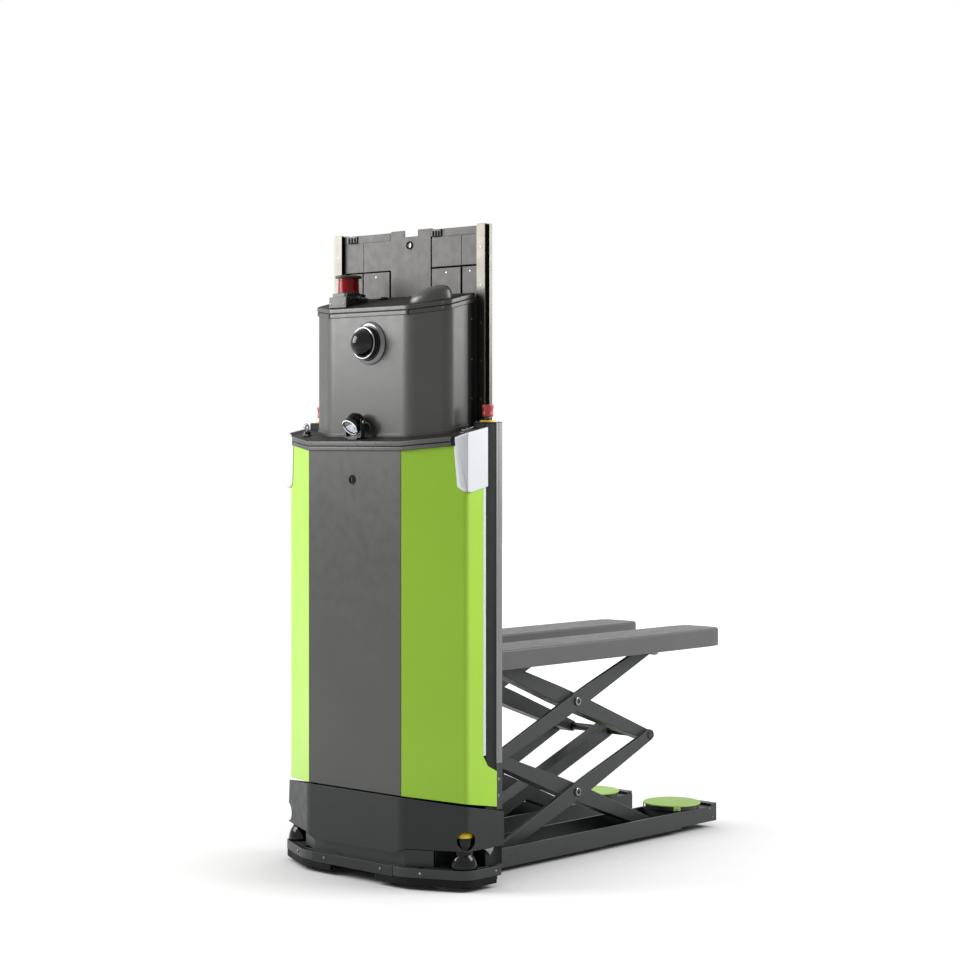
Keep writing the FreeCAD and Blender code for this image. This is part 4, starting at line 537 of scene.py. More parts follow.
def dress(node, material, bevel=1.0, angle=30.0, slot=None, fold=0.0, crown=None):
    """Replaces a node by the same shape with merged faces and softened edges."""
    source = frame["nodes"][node]
    bm = bmesh.new()
    bm.from_mesh(source.data)
    bmesh.ops.remove_doubles(bm, verts=bm.verts, dist=FACET_SEAM)
    bmesh.ops.dissolve_limit(bm, angle_limit=FACET_ANGLE, verts=bm.verts, edges=bm.edges)
    if fold:
        soften_folds(bm, fold)
    if crown:
        lean(bm, *crown)
    slot = slot or SLOTS[node]
    return publish(node + "_skin", bm, material, source["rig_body"], (node,), bevel, angle)


# Leads: their routes are the part's, and each is held by its plug or pin and by its entry

def lead(name, node, points, diameter):
    curve = bpy.data.curves.new(name, "CURVE")
    curve.dimensions = "3D"
    spline = curve.splines.new("NURBS")
    spline.points.add(len(points) - 1)
    for point, place in zip(spline.points, points):
        point.co = (*spot(*place), 1.0)
    spline.order_u = 3
    spline.use_endpoint_u = True
    curve.resolution_u = 12
    curve.bevel_depth = diameter / 2.0 * MM
    curve.bevel_resolution = 5
    curve.materials.append(CABLE)
    piece = bpy.data.objects.new(name, curve)
    bpy.context.collection.objects.link(piece)
    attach(piece, "base")
    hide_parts(node)


PLUG = (130.0, 104.5, 1842.1)
ENTRY = (186.0, 61.0, 1838.1)
lead("scanner_cable", "scanner_lead",
     [PLUG, (130.0, 91.5, 1841.1), (137.0, 77.5, 1836.6), (150.0, 65.5, 1830.4),
      (166.0, 61.5, 1835.1), (176.0, 61.0, 1838.1), ENTRY], 5.0)
LIGHT_PIN = (31.0, -13.0, 1440.0)
COLLAR = (46.0, -26.0, 1395.0)
lead("light_cable", "work_light_lead",
     [LIGHT_PIN, (31.0, -23.0, 1440.0), (36.0, -33.0, 1434.0), (42.0, -35.0, 1420.0),
      (45.0, -29.0, 1408.0), (46.0, -26.0, 1401.5), COLLAR], 4.0)


# Tower: panels, skirt, deck and its rims

def chamfer_y(x, front_half=FRONT_HALF, front_x=0.0):
    """Distance of a chamfer from the middle at a station."""
    return front_half + (x - front_x) * CHAMFER


def wrap_path(front_x, front_half, side_half, rear_x):
    """The open plan path from the rear right, round the front, to the rear left."""
    fold = front_x + (side_half - front_half) / CHAMFER
    right = [(rear_x, -side_half), (fold, -side_half), (front_x, -front_half)]
    return right + [(x, -y) for x, y in reversed(right)]


dress("front_panel", DARK, 0.8)
dress("side_panels", GREEN, 1.0, fold=12.0)
dress("skirt", SKIRT, 0.8, fold=13.0)
dress("deck", DECK, 1.2)
dress("corner_fairings", WHITE, 3.0, fold=9.0)
dress("light_strips", STRIP_LIGHT, 1.5)
dress("mast_channels", MAST, 1.0)
dress("rear_wall", MAST, 1.0)
dress("base_frame", ANTHRACITE, 1.0)

RIM_END_X = 72.0
rim_path = [(RIM_END_X, -chamfer_y(RIM_END_X)), (0.0, -FRONT_HALF),
            (0.0, FRONT_HALF), (RIM_END_X, chamfer_y(RIM_END_X))]
# The deck's rims take the lighter rim coat, which paints a highlight on them.
for name, high, low, out in (("deck_lip", -1.0, -14.0, 1.8), ("deck_apron", -18.0, -29.0, 0.7)):
    Shape().band(rim_path, lambda x, z=low: deck_height(x) + z, lambda x, z=high: deck_height(x) + z,
                 DECK_OUT - 2.0, DECK_OUT + out).show(name, DECK_LIP_HIGHLIT, "base", "dark_panel", bevel=1.1)


# Head

HEAD_FOLD, CAP_FOLD, HEAD_SHEET = 28.0, 14.0, 4.0
head_path = rounded(wrap_path(HEAD_X, HEAD_FRONT_HALF, HEAD_HALF, HEAD_SHELL_X), HEAD_FOLD, 8)
cap_path = rounded(wrap_path(HEAD_X, HEAD_FRONT_HALF, HEAD_HALF, TOWER_REAR_X), CAP_FOLD, 8)
Shape().band(head_path, deck_height, lambda x: cap_height(x) - CAP_T, -HEAD_SHEET, 0.0).show(
    "head_walls", DARK, "base", "dark_panel", ("head_shell",), 0.8)
dress("head_cap", DECK, 1.2, 34.0)
dress("cap_bulge", BULGE, 0.0, 60.0, crown=(14.0, -26.0))
for name, high, low, out in (("cap_lip", -1.0, -13.0, 1.6), ("cap_apron", -17.0, -29.0, 0.6)):
    Shape().band(cap_path, lambda x, z=low: cap_height(x) + z, lambda x, z=high: cap_height(x) + z,
                 CAP_OUT - 2.0, CAP_OUT + out).show(name, LIP, "base", "dark_panel", bevel=1.0)
Shape().band(head_path, lambda x: deck_height(x) - 1.0, lambda x: deck_height(x) + 10.0,
             -1.0, 2.6).show("head_plinth", LIP, "base", "dark_panel", bevel=1.2)
screws = Shape()
for z in (1763.0, 1636.0, 1514.0):
    screws.screw((222.0, -HEAD_HALF, z), RIGHT, 2.6)
screws.mirror().show("head_frame_rivets", STEEL, "base", "bare_steel")
CAP_SCREW_X = 113.0
fold_turn = math.atan(1.0 / CHAMFER)
chamfer_axis = Vector((-math.cos(fold_turn), -math.sin(fold_turn), 0.0))
screws = Shape()
for z in (1811.0, 1795.5):
    place = Vector((CAP_SCREW_X, -chamfer_y(CAP_SCREW_X, HEAD_FRONT_HALF, HEAD_X), z))
    screws.screw(place + chamfer_axis * (CAP_OUT + 1.6), chamfer_axis, 2.4, 0.9, "disc")
screws.mirror().show("cap_screws", STEEL, "base", "chrome_trim")


# Dome camera

CAMERA_SEAT = (HEAD_X, -9.0, 1690.0)
Shape().ring(CAMERA_SEAT, AHEAD, [
    (54.0, 0.2), (69.0, 0.2), (69.0, 2.6), (67.4, 4.4), (60.0, 7.4), (54.0, 9.6)],
    72).show("camera_flange", FLANGE, "base", "chrome_trim")
Shape().lathe(CAMERA_SEAT, AHEAD, [
    (0.0, 0.2), (55.0, 0.2), (56.5, 9.0), (55.0, 11.0), (52.5, 11.4), (51.0, 12.4),
    (51.0, 19.0), (49.6, 20.0), (49.6, 22.5), (51.0, 23.5), (51.0, 28.0), (46.0, 28.0), (46.0, 24.0),
    (0.0, 24.0)], 72).show("camera_barrel", GLOSS_BLACK, "base", "black_plastic", ("camera_housing",))
Shape().ring(CAMERA_SEAT, AHEAD, [
    (45.0, 27.0), (51.4, 27.0), (52.0, 28.5), (51.6, 31.0), (49.6, 33.0), (47.2, 33.0), (45.0, 31.0)],
    72).show("camera_bezel", CHROME, "base", "chrome_trim")
DOME_R, DOME_RISE = 45.0, 36.0
dome_ball = (DOME_R ** 2 + DOME_RISE ** 2) / (2.0 * DOME_RISE)
dome_arc = math.asin(DOME_R / dome_ball)
dome = [(dome_ball * math.sin(dome_arc * step / 10), 33.0 + DOME_RISE - dome_ball
         + dome_ball * math.cos(dome_arc * step / 10)) for step in range(10, 0, -1)]
Shape().lathe(CAMERA_SEAT, AHEAD, [(0.0, 30.5), (DOME_R, 30.5)] + dome + [(0.0, 33.0 + DOME_RISE)],
              72).show("camera_glass", DARK_GLASS, "base", "dark_glass", ("camera_dome",))
Shape().lathe(CAMERA_SEAT, AHEAD, [
    (0.0, 24.5), (43.0, 24.5), (43.0, 27.0), (36.0, 27.0), (34.0, 25.6), (29.0, 25.6), (28.0, 28.0),
    (20.0, 29.0), (17.0, 27.0), (12.0, 27.0), (9.0, 29.2), (0.0, 30.0)],
    48).show("camera_lens_group", GLOSS_BLACK, "base", "black_plastic")


# Navigation scanner

LIDAR_X, LIDAR_Y, LIDAR_HALF = 130.0, 160.0, 39.5
LIDAR_BODY_Z, LIDAR_WINDOW_Z = 1857.0, 1906.0
dress("lidar_body", CAST, 1.8)
dress("lidar_rotor", BLACK, 0.6)
Shape().ring((LIDAR_X, LIDAR_Y, LIDAR_BODY_Z), UP, [
    (30.5, 0.0), (35.4, 0.0), (35.4, 2.0), (34.4, 4.0), (33.2, 40.0), (33.6, 49.0), (30.5, 49.0)],
    64).show("scanner_window", RED_WINDOW, "base", "red_window", ("lidar_window",))
Shape().lathe((LIDAR_X, LIDAR_Y, LIDAR_WINDOW_Z), UP, [
    (0.0, 0.0), (35.0, 0.0), (36.0, 1.0), (42.4, 1.6), (43.4, 3.0), (43.4, 6.0), (41.5, 8.6), (36.0, 10.0),
    (8.0, 10.0), (7.0, 9.2), (0.0, 9.2)], 64).show(
        "scanner_lid", BLACK, "base", "black_plastic", ("lidar_cap",))
collar = Shape()
collar.ring((LIDAR_X, LIDAR_Y, LIDAR_BODY_Z), UP, [
    (33.5, -0.5), (37.0, -0.5), (37.0, 2.0), (35.0, 3.2), (33.5, 3.2)], 64)
side_y = LIDAR_Y - LIDAR_HALF
collar.prism([(84.0, side_y + 1.0), (84.0, side_y - 1.6), (176.0, side_y - 1.6), (176.0, side_y + 1.0)],
             lambda x: cap_height(x) + 2.0, 1843.0)
collar.prism([(88.0, side_y + 6.0), (88.0, side_y + 3.4), (172.0, side_y + 3.4), (172.0, side_y + 6.0)],
             1845.5, 1855.5)
for x in (104.0, 156.0):
    collar.lathe((x, side_y, 1838.5), RIGHT, [
        (0.0, -1.0), (7.0, -1.0), (7.0, 3.0), (6.0, 4.0), (0.0, 4.0)], 20)
collar.lathe((LIDAR_X, side_y, PLUG[2]), RIGHT, [
    (0.0, 0.0), (8.4, 0.0), (8.4, 5.0), (7.4, 6.0), (7.4, 13.0), (6.0, 15.0), (4.2, 17.5), (0.0, 17.5)], 24)
collar.show("scanner_side_cover", BLACK, "base", "black_plastic", bevel=0.6)
scanner_screws = Shape()
for y in (130.0, 190.0):
    scanner_screws.screw((80.5, y, 1822.0), AHEAD, 3.4)
scanner_screws.show("scanner_screws", ZINC, "base", "bare_steel")


# Work light, in the axis that it points along

LIGHT = Vector((31.0, 27.0, 1440.0))
LIGHT_DOWN = math.radians(38.0)
LIGHT_AXIS = (-math.cos(LIGHT_DOWN), 0.0, -math.sin(LIGHT_DOWN))
fins = []
for step in range(4):
    fins += [(30.0, -10.0 + 5.0 * step), (30.0, -7.4 + 5.0 * step), (26.8, -7.0 + 5.0 * step),
             (26.8, -5.4 + 5.0 * step)]
back = [(0.0, -29.0), (10.0, -28.2), (19.0, -25.0), (25.0, -19.0), (28.4, -12.0)]
Shape().lathe(LIGHT, LIGHT_AXIS, back + fins + [
    (30.0, 10.0), (31.0, 12.0), (31.0, 26.0), (29.6, 28.0), (26.2, 28.0), (25.6, 24.0), (24.4, 21.0),
    (9.0, 7.0), (0.0, 6.0)], 56).show("lamp_housing", GLOSS_BLACK, "work_light", "black_plastic",
                                      ("work_light_body",), angle=50.0)
Shape().lathe(LIGHT, LIGHT_AXIS, [
    (0.0, 6.4), (24.6, 20.8), (24.6, 21.6), (21.0, 16.6), (15.5, 12.4), (9.5, 9.4), (5.0, 8.2), (4.4, 11.0),
    (0.0, 11.6)], 12).show("lamp_reflector", MIRROR, "work_light", "chrome_trim", angle=8.0)
Shape().lathe(LIGHT, LIGHT_AXIS, [(0.0, 23.2), (25.0, 23.2), (25.0, 24.6), (18.0, 25.6), (0.0, 26.2)], 48).show(
    "lamp_lens", LAMP_GLASS, "work_light", "lamp_glass", ("work_light_lens",), angle=60.0)
Shape().ring(LIGHT, LIGHT_AXIS, [(25.8, 27.0), (29.8, 27.0), (29.2, 29.2), (27.0, 29.8), (25.8, 29.0)],
             56).show("lamp_rim", MIRROR, "work_light", "chrome_trim")
dress("work_light_bracket", ANTHRACITE, 0.8, slot="bare_steel")
bolts = Shape()
for side, kind in ((1, "hex"), (-1, "disc")):
    bolts.screw((LIGHT.x, LIGHT.y + side * 40.0, LIGHT.z), (0, side, 0), 6.5, 3.0, kind)
for x in (LIGHT.x - 7.0, LIGHT.x + 7.0):
    bolts.screw((x, LIGHT.y, deck_height(LIGHT.x) + 7.0), UP, 3.4)
bolts.show("light_bolts", ZINC, "base", "bare_steel")


# Controls on the masts, the deck and the front panel

for side, sign in (("left", 1), ("right", -1)):
    y = sign * STOP_Y
    Shape().lathe((STOP_X, y, STOP_BASE_Z), UP, [
        (0.0, -11.5), (6.0, -11.5), (6.0, 0.0), (16.0, 0.0), (17.6, 1.6), (17.2, 8.0), (16.4, 15.0),
        (17.0, 23.0), (18.6, 30.0), (19.0, 33.5), (18.0, 36.4), (14.5, 37.8), (0.0, 38.0)],
        56).show("stop_cap_" + side, RED, "stop_" + side, "red_button",
                 ("stop_button_" + side,), angle=50.0)
necks, rings = Shape(), Shape()
necks.ring((STOP_X, STOP_Y, MAST_TOP_Z), UP, [
    (6.1, 0.5), (21.0, 0.5), (21.0, 2.2), (14.5, 2.8), (13.2, 4.0), (13.2, 6.0), (12.0, 7.0), (12.0, 12.0),
    (6.1, 12.0)], 40)
rings.ring((STOP_X, STOP_Y, MAST_TOP_Z), UP, [
    (20.5, 0.0), (24.8, 0.0), (24.8, 4.0), (23.6, 5.0), (20.5, 5.0)], 48)
necks.mirror().show("stop_necks", BLACK, "base", "black_plastic", ("stop_collars",))
rings.mirror().show("stop_rings", YELLOW, "base", "yellow_cap")

KEY = (75.0, 298.0, deck_height(75.0))
Shape().ring(KEY, UP, [
    (4.2, 4.0), (4.2, -2.0), (14.0, -2.0), (14.0, 2.0), (12.4, 3.4), (12.4, 11.6), (11.0, 14.0), (7.0, 14.0),
    (6.2, 12.6), (4.2, 12.6)], 36).show("switch_barrel", GLOSS_BLACK, "base", "black_plastic", ("key_switch",))
Shape().ring(KEY, UP, [(12.6, 1.0), (14.8, 1.0), (14.8, 3.2), (13.8, 4.4), (12.6, 4.4)],
             36).show("switch_ring", CHROME, "base", "chrome_trim")
key = Shape()
key.lathe((KEY[0], KEY[1], KEY[2] + 5.6), UP, [(0.0, 0.0), (3.6, 0.0), (3.6, 14.0), (0.0, 14.0)], 16)
key.ring((KEY[0] - 1.3, KEY[1], KEY[2] + 27.0), (1, 0, 0), [
    (4.5, 0.0), (10.5, 0.0), (10.5, 2.6), (4.5, 2.6)], 28)
LOOP_R, WIRE_R = 9.0, 0.8
turns = [math.tau * step / 8 for step in range(8)]
wire = [(LOOP_R + WIRE_R * math.cos(turn), WIRE_R * math.sin(turn)) for turn in turns]
key.ring((KEY[0], KEY[1] + 4.0, KEY[2] + 31.0), (0.35, 1.0, 0.2), wire, 32)
key.show("switch_key_bow", CHROME, "switch_key", "chrome_trim", ("key",))

LOCK_Y, LOCK_Z = 8.0, 1259.0
lock = Shape().lathe((0.0, LOCK_Y, LOCK_Z), AHEAD, [
    (0.0, -6.0), (15.0, -6.0), (15.0, 1.6), (13.6, 3.0), (10.5, 3.0), (9.6, 1.6), (8.0, 1.6), (7.0, 2.8),
    (5.6, 2.8), (4.8, 0.4), (0.0, 0.4)], 48)
lock.box((6.0, LOCK_Y - 8.0, LOCK_Z - 30.0), (9.0, LOCK_Y + 8.0, LOCK_Z + 8.0))
lock.show("lock_barrel", GLOSS_BLACK, "panel_lock", "chrome_trim", ("front_lock",))
Shape().box((-2.4, LOCK_Y - 1.4, LOCK_Z - 4.4), (0.4, LOCK_Y + 1.4, LOCK_Z + 4.4)).show(
    "lock_bit", CHROME, "panel_lock", "chrome_trim", bevel=0.5)

latch = Shape()
latch.prism([(112.0, -352.0), (112.0, -370.0), (172.0, -370.0), (172.0, -352.0)],
            lambda x: deck_height(x) - 0.5, lambda x: deck_height(x) + 4.0)
latch.prism([(118.0, -356.0), (118.0, -366.0), (146.0, -366.0), (146.0, -356.0)],
            lambda x: deck_height(x) + 3.8, lambda x: deck_height(x) + 9.0)
latch.show("deck_latch", BLACK, "base", "black_plastic", bevel=0.8)
latch = Shape()
for x in (120.0, 142.0):
    latch.tube([(x, -368.5, deck_height(x) + 8.5), (x, -353.5, deck_height(x) + 8.5)], 2.4)
latch.tube([(144.0, -358.0, deck_height(144.0) + 8.0), (160.0, -358.0, deck_height(160.0) + 9.0),
            (163.0, -361.0, deck_height(163.0) + 8.6), (160.0, -364.0, deck_height(160.0) + 9.0),
            (144.0, -364.0, deck_height(144.0) + 8.0)], 1.6)
latch.show("latch_wire", CHROME, "base", "chrome_trim")


# Masts: bright rear profile, screws and caps

PROFILE_LOW_Z, PROFILE_FOOT_Z, PROFILE_X0, PROFILE_X1 = 380.0, 236.0, 231.0, 257.4
profile = Shape()
steps = [(PROFILE_X0, -1.0), (PROFILE_X0, 1.0), (239.0, 1.0), (239.6, 0.2), (242.4, 0.2), (243.0, 1.0),
         (PROFILE_X1, 1.0), (PROFILE_X1, -1.0)]
profile.prism([(x, -MAST_OUT - out) for x, out in steps], PROFILE_LOW_Z, MAST_TOP_Z - 2.0)
profile.mirror().show("mast_profiles", SILVER, "base", "mast_paint", bevel=0.5)
# The lower end of each bright profile is drawn in the darker anthracite coat: painted shade, darker towards the
# bottom.
foot = Shape().box((PROFILE_X0, -MAST_OUT - 1.0, PROFILE_FOOT_Z),
                   (PROFILE_X1, -MAST_OUT + 1.0, PROFILE_LOW_Z - 0.8))
foot.mirror().show("mast_profile_feet_painted_shade", ANTHRACITE, "base", "mast_paint", bevel=0.5)
screws = Shape()
for z in (329.0, 278.0):
    screws.screw((241.0, -MAST_OUT, z), RIGHT, 5.0)
for x, y in ((189.0, -352.0), (249.0, -352.0), (249.0, -389.0)):
    screws.screw((x, y, MAST_TOP_Z), UP, 3.0)
screws.mirror().show("mast_screws", ZINC, "base", "bare_steel")


# Low scanners, seen through the round ports of the skirt

GUARD_X, GUARD_Y, GUARD_Z, GUARD_TALL = 115.0, 366.0, 66.0, 96.0
guard = Shape()
guard.lathe((GUARD_X, GUARD_Y, GUARD_Z), UP, [
    (0.0, 0.0), (40.0, 0.0), (42.6, 1.6), (43.4, 5.0), (43.0, 12.0), (41.6, 19.6), (39.4, 27.2),
    (36.6, 34.0), (33.2, 39.8), (30.0, 43.6), (29.0, 46.0), (29.0, GUARD_TALL), (0.0, GUARD_TALL)], 64)
guard.mirror().show("guard_housings", GLOSS_BLACK, "base", "black_plastic", ("guard_scanners",), angle=50.0)
guard = Shape()
guard.lathe((GUARD_X, GUARD_Y, GUARD_Z + GUARD_TALL), UP, [
    (0.0, 0.0), (27.4, 0.0), (28.0, 1.0), (28.0, 11.0), (26.0, 16.0), (21.0, 19.0), (0.0, 20.0)], 56)
guard.mirror().show("guard_tops", YELLOW, "base", "yellow_cap", ("guard_caps",), angle=50.0)
tab = Shape()
tab.facet([(170.0, 122.5), (214.0, 122.5), (206.0, 112.0), (196.0, 101.0), (186.0, 112.0)],
          -SIDE_HALF + 1.0, -SIDE_HALF - 2.5)
tab.screw((197.0, -SIDE_HALF - 2.5, 111.0), RIGHT, 3.0, 0.6, "disc")
tab.mirror().show("skirt_tabs", ZINC, "base", "bare_steel", bevel=0.5)


# Bumper

BAND_HALF, SEAM_GAP, BUMPER_FOLD = 180.0, 1.2, 40.0
RUBBER_T, RUBBER_IN, RUBBER_LOW_Z, RUBBER_STEP_Z, RUBBER_HEEL_X = 16.0, 100.0, 14.0, 36.0, 212.0
dress("bumper_strip", SKIRT, 0.8)
bumper_rear_x = TOWER_REAR_X - 2.0
band_path = rounded(wrap_path(-BUMPER_OUT, BUMPER_FRONT_HALF, BUMPER_HALF, bumper_rear_x), BUMPER_FOLD, 8)
right_half = [point for point in band_path if point[1] < 0.0]
rubber_path = [*right_half, (-BUMPER_OUT, -RUBBER_IN)]
rubber = Shape().band(rubber_path, RUBBER_STEP_Z, BUMPER_TOP_Z, -RUBBER_T, 0.0)
heel_path = [(RUBBER_HEEL_X, -BUMPER_HALF), *rubber_path[1:]]
rubber.band(heel_path, RUBBER_LOW_Z, RUBBER_STEP_Z + 1.0, -RUBBER_T, 0.0)
rubber.mirror().show("bumper_rubber", RUBBER, "base", "black_rubber", ("bumper_corners",), 1.5)
corner_band = [*right_half, (-BUMPER_OUT, -BAND_HALF - SEAM_GAP)]
Shape().band(corner_band, STRIP_LOW_Z + 3.0, BUMPER_TOP_Z + 0.8, -3.0, 1.0).mirror().show(
    "bumper_bands", ANTHRACITE, "base", "bare_steel", bevel=0.8)
front_band = [(-BUMPER_OUT, -BAND_HALF), (-BUMPER_OUT, BAND_HALF)]
Shape().band(front_band, STRIP_LOW_Z, BUMPER_TOP_Z + 1.2, -3.0, 2.0).show(
    "bumper_front_band", SKIRT, "base", "bare_steel", bevel=0.9)
bolts = Shape()
for x, y, axis in ((-BUMPER_OUT - 2.0, -127.0, AHEAD), (206.0, -BUMPER_HALF - 1.0, RIGHT)):
    bolts.screw((x, y, 52.0), axis, 4.6)
bolts.screw((16.0 - 1.2 * math.sin(fold_turn), -275.0 - 1.2 * math.cos(fold_turn), 52.0),
            (-math.sin(fold_turn), -math.cos(fold_turn), 0.0), 4.6)
bolts.mirror().show("bumper_bolts", ZINC, "base", "bare_steel")


# Wheels

RIM_SHARE = 0.74


def wheel(name, body, x, y, radius, width, bore):
    """A soft tread ring on a pressed hub with a dished face round an open bore."""
    half = width / 2.0
    rim = radius * RIM_SHARE
    tread = [(rim, -half + 1.0), (radius - 5.0, -half), (radius - 1.5, -half + 1.6), (radius, -half + 5.0),
             (radius, half - 5.0), (radius - 1.5, half - 1.6), (radius - 5.0, half), (rim, half - 1.0)]
    Shape().ring((x, y, radius), (0, 1, 0), tread, 72).show(
        name + "_tread", TREAD, body, "wheel_tread", (name,))
    hub = []
    for side in (1.0, -1.0):
        dish = [(rim, half - 1.0), (rim * 0.9, half - 1.0), (rim * 0.84, half - 5.0),
                (bore * 2.3, half - 5.0), (bore * 1.9, half), (bore + 0.2, half)]
        hub += [(r, side * h) for r, h in (dish if side > 0 else reversed(dish))]
    Shape().ring((x, y, radius), (0, 1, 0), hub, 72).show(name + "_hub", STEEL, body, "bare_steel")


TABLE_X, TABLE_Y, TABS = 1389.0, 186.0, (132.0, 228.0)
for side, sign in (("left", 1.0), ("right", -1.0)):
    wheel("drive_wheel_" + side, "wheel_front_" + side, 110.0, sign * 190.0, 70.0, 45.0, 12.0)
    wheel("leg_wheel_" + side, "wheel_leg_" + side, TABLE_X, sign * TABLE_Y, 42.0, 36.0, 8.0)
    dress("drive_yoke_" + side, STEEL, 0.8)


# Turntables at the leg ends

for side, sign in (("left", 1.0), ("right", -1.0)):
    body, y = "steer_leg_" + side, sign * TABLE_Y
    disc = Shape().lathe((TABLE_X, y, 92.6), UP, [
        (0.0, 0.0), (99.0, 0.0), (101.4, 1.4), (101.4, 4.4), (99.6, 6.0), (0.0, 6.0)], 128)
    for degrees in TABS:
        turn = math.radians(degrees)
        out = Vector((math.cos(turn), math.sin(turn), 0.0))
        along = Vector((-math.sin(turn), math.cos(turn), 0.0))
        middle = Vector((TABLE_X, y, 0.0))
        corners = [(98.6, -13.0), (101.6, -12.0), (101.6, 12.0), (98.6, 13.0)]
        plan = [middle + out * reach + along * width for reach, width in corners]
        disc.prism([(point.x, point.y) for point in plan], 80.0, 94.0)
    disc.show("turntable_disc_" + side, DISC_GREEN, body, "green_disc", ("turntable_" + side,), bevel=0.9)
    drum = Shape().lathe((TABLE_X, y, 78.8), UP, [
        (0.0, 9.4), (50.0, 9.4), (50.0, -6.0), (57.6, -6.0), (57.6, 0.2), (93.0, 0.2), (94.0, 1.2),
        (94.0, 13.6), (92.0, 14.0), (0.0, 14.0)], 96)
    half_gap, thick = 21.0, 6.0
    for face in (1.0, -1.0):
        low, high = sorted((y + face * half_gap, y + face * (half_gap + thick)))
        drum.box((TABLE_X - 16.0, low, 26.0), (TABLE_X + 16.0, high, 89.0))
    drum.show("turntable_drum_" + side, BLACK, body, "black_plastic", bevel=0.6)
    metal = Shape()
    metal.lathe((TABLE_X, y - half_gap - thick, 42.0), (0, 1, 0), [
        (0.0, 0.0), (8.0, 0.0), (8.0, 2.0 * (half_gap + thick)), (0.0, 2.0 * (half_gap + thick))], 24)
    for degrees in TABS:
        turn = math.radians(degrees)
        out = Vector((math.cos(turn), math.sin(turn), 0.0))
        metal.screw(Vector((TABLE_X, y, 84.0)) + out * 101.6, out, 3.4, 1.0, "disc")
    metal.show("turntable_bolts_" + side, STEEL, body, "bare_steel")


# Legs, scissor, forks and backrest

dress("legs", ANTHRACITE, 1.2)
dress("lower_outer_arms", ANTHRACITE, 1.5)
dress("lower_inner_arms", ANTHRACITE, 2.0)
dress("upper_outer_arms", ANTHRACITE, 1.5)
dress("upper_inner_arms", ANTHRACITE, 2.0)
for node in ("upper_pins", "front_links", "foot_rollers", "fork_rollers", "lift_drive"):
    dress(node, STEEL, 1.0)
for node in ("lower_pins", "base_pivot_shaft"):
    dress(node, ANTHRACITE, 1.0)
dress("fork_left", FORK_COAT, 1.2)
dress("fork_right", FORK_COAT, 1.2)
dress("backrest", GREY_COAT, 1.0)
dress("rails", POLISHED, 0.8)
dress("rail_brackets", BLACK, 1.0)
dress("battery", BATTERY, 3.0)
dress("controller", LABEL_GREY, 1.5)

PIN_FACE, OUTER_ARM_Y = 219.0, 215.0
CENTRE_PINS = (("lower", 834.3, 200.7, "lower_outer"), ("upper", 834.3, 505.0, "upper_inner"))
for name, x, z, body in CENTRE_PINS:
    ring = Shape()
    ring.ring((x, -PIN_FACE, z), RIGHT, [
        (7.6, -1.0), (14.2, -1.0), (14.2, 1.4), (12.8, 2.4), (7.6, 2.4)], 40)
    ring.mirror().show(name + "_pin_rings", CHROME, body, "chrome_trim")
    plug = Shape()
    plug.lathe((x, -PIN_FACE, z), RIGHT, [
        (0.0, -1.0), (7.6, -1.0), (7.6, 0.8), (6.6, 1.4), (0.0, 1.4)], 32)
    plug.mirror().show(name + "_pin_plugs", GLOSS_BLACK, body, "black_plastic")
cap = Shape()
cap.lathe((1230.6, -OUTER_ARM_Y, 352.9), RIGHT, [
    (0.0, -2.0), (16.0, -2.0), (16.0, 2.0), (14.6, 3.6), (10.0, 3.6), (9.2, 2.4), (7.4, 2.4), (6.6, 3.4),
    (0.0, 3.4)], 40)
cap.mirror().show("rear_tube_caps", BLACK, "lower_outer", "black_plastic")
bolts = Shape()
for x, z in ((1489.0, 70.0), (1505.0, 38.0)):
    bolts.screw((x, -LEG_OUT, z), RIGHT, 4.2)
bolts.mirror().show("leg_end_bolts", ZINC, "base", "bare_steel")


# Panels of the backrest

PANEL_FOOT_Z, BREAK_Z, WING_Z, CROWN_Z = 660.0, 1934.0, 2031.0, 2058.0
COLUMN_LEFT, COLUMN_RIGHT, EDGE_LEFT, EDGE_RIGHT = 88.0, -98.0, 298.0, -300.0
DIVIDER_LEFT, DIVIDER_RIGHT = 213.0, -232.0
face, lip_face = BACK_X - 2.6, BACK_X - 1.2
panels = Shape()
for y0, y1, z0, z1 in (
        (COLUMN_LEFT + 2.5, DIVIDER_LEFT - 2.5, PANEL_FOOT_Z, BREAK_Z - 2.5),
        (DIVIDER_LEFT + 2.5, EDGE_LEFT, PANEL_FOOT_Z, BREAK_Z - 2.5),
        (DIVIDER_RIGHT + 4.0, COLUMN_RIGHT - 4.0, PANEL_FOOT_Z, BREAK_Z - 3.0),
        (EDGE_RIGHT, DIVIDER_RIGHT - 4.0, PANEL_FOOT_Z, BREAK_Z - 3.0),
        (DIVIDER_RIGHT + 0.8, COLUMN_RIGHT - 4.0, BREAK_Z + 3.0, WING_Z),
        (EDGE_RIGHT, DIVIDER_RIGHT - 0.8, BREAK_Z + 3.0, WING_Z)):
    panels.box((face, y0, z0), (BACK_X + 0.4, y1, z1))
for y0, y1 in ((COLUMN_LEFT + 1.0, 262.0), (EDGE_RIGHT, -152.0)):
    panels.box((lip_face, y0, WING_Z + 2.0), (BACK_X + 0.4, y1, CROWN_Z - 1.5))
panels.show("backrest_panels", GREY_COAT, "carriage", "backrest_paint", bevel=0.9)
# Near-black strips in the grooves between the backrest panels: painted shade.
seams = Shape()
for y, half, low, high in (
        (COLUMN_RIGHT, 3.4, PANEL_FOOT_Z, CROWN_Z), (COLUMN_LEFT, 2.3, PANEL_FOOT_Z, BREAK_Z),
        (DIVIDER_LEFT, 2.3, PANEL_FOOT_Z, BREAK_Z), (DIVIDER_LEFT, 0.6, BREAK_Z, WING_Z),
        (DIVIDER_RIGHT, 3.8, PANEL_FOOT_Z, BREAK_Z)):
    seams.box((BACK_X - 0.5, y - half, low), (BACK_X + 0.4, y + half, high))
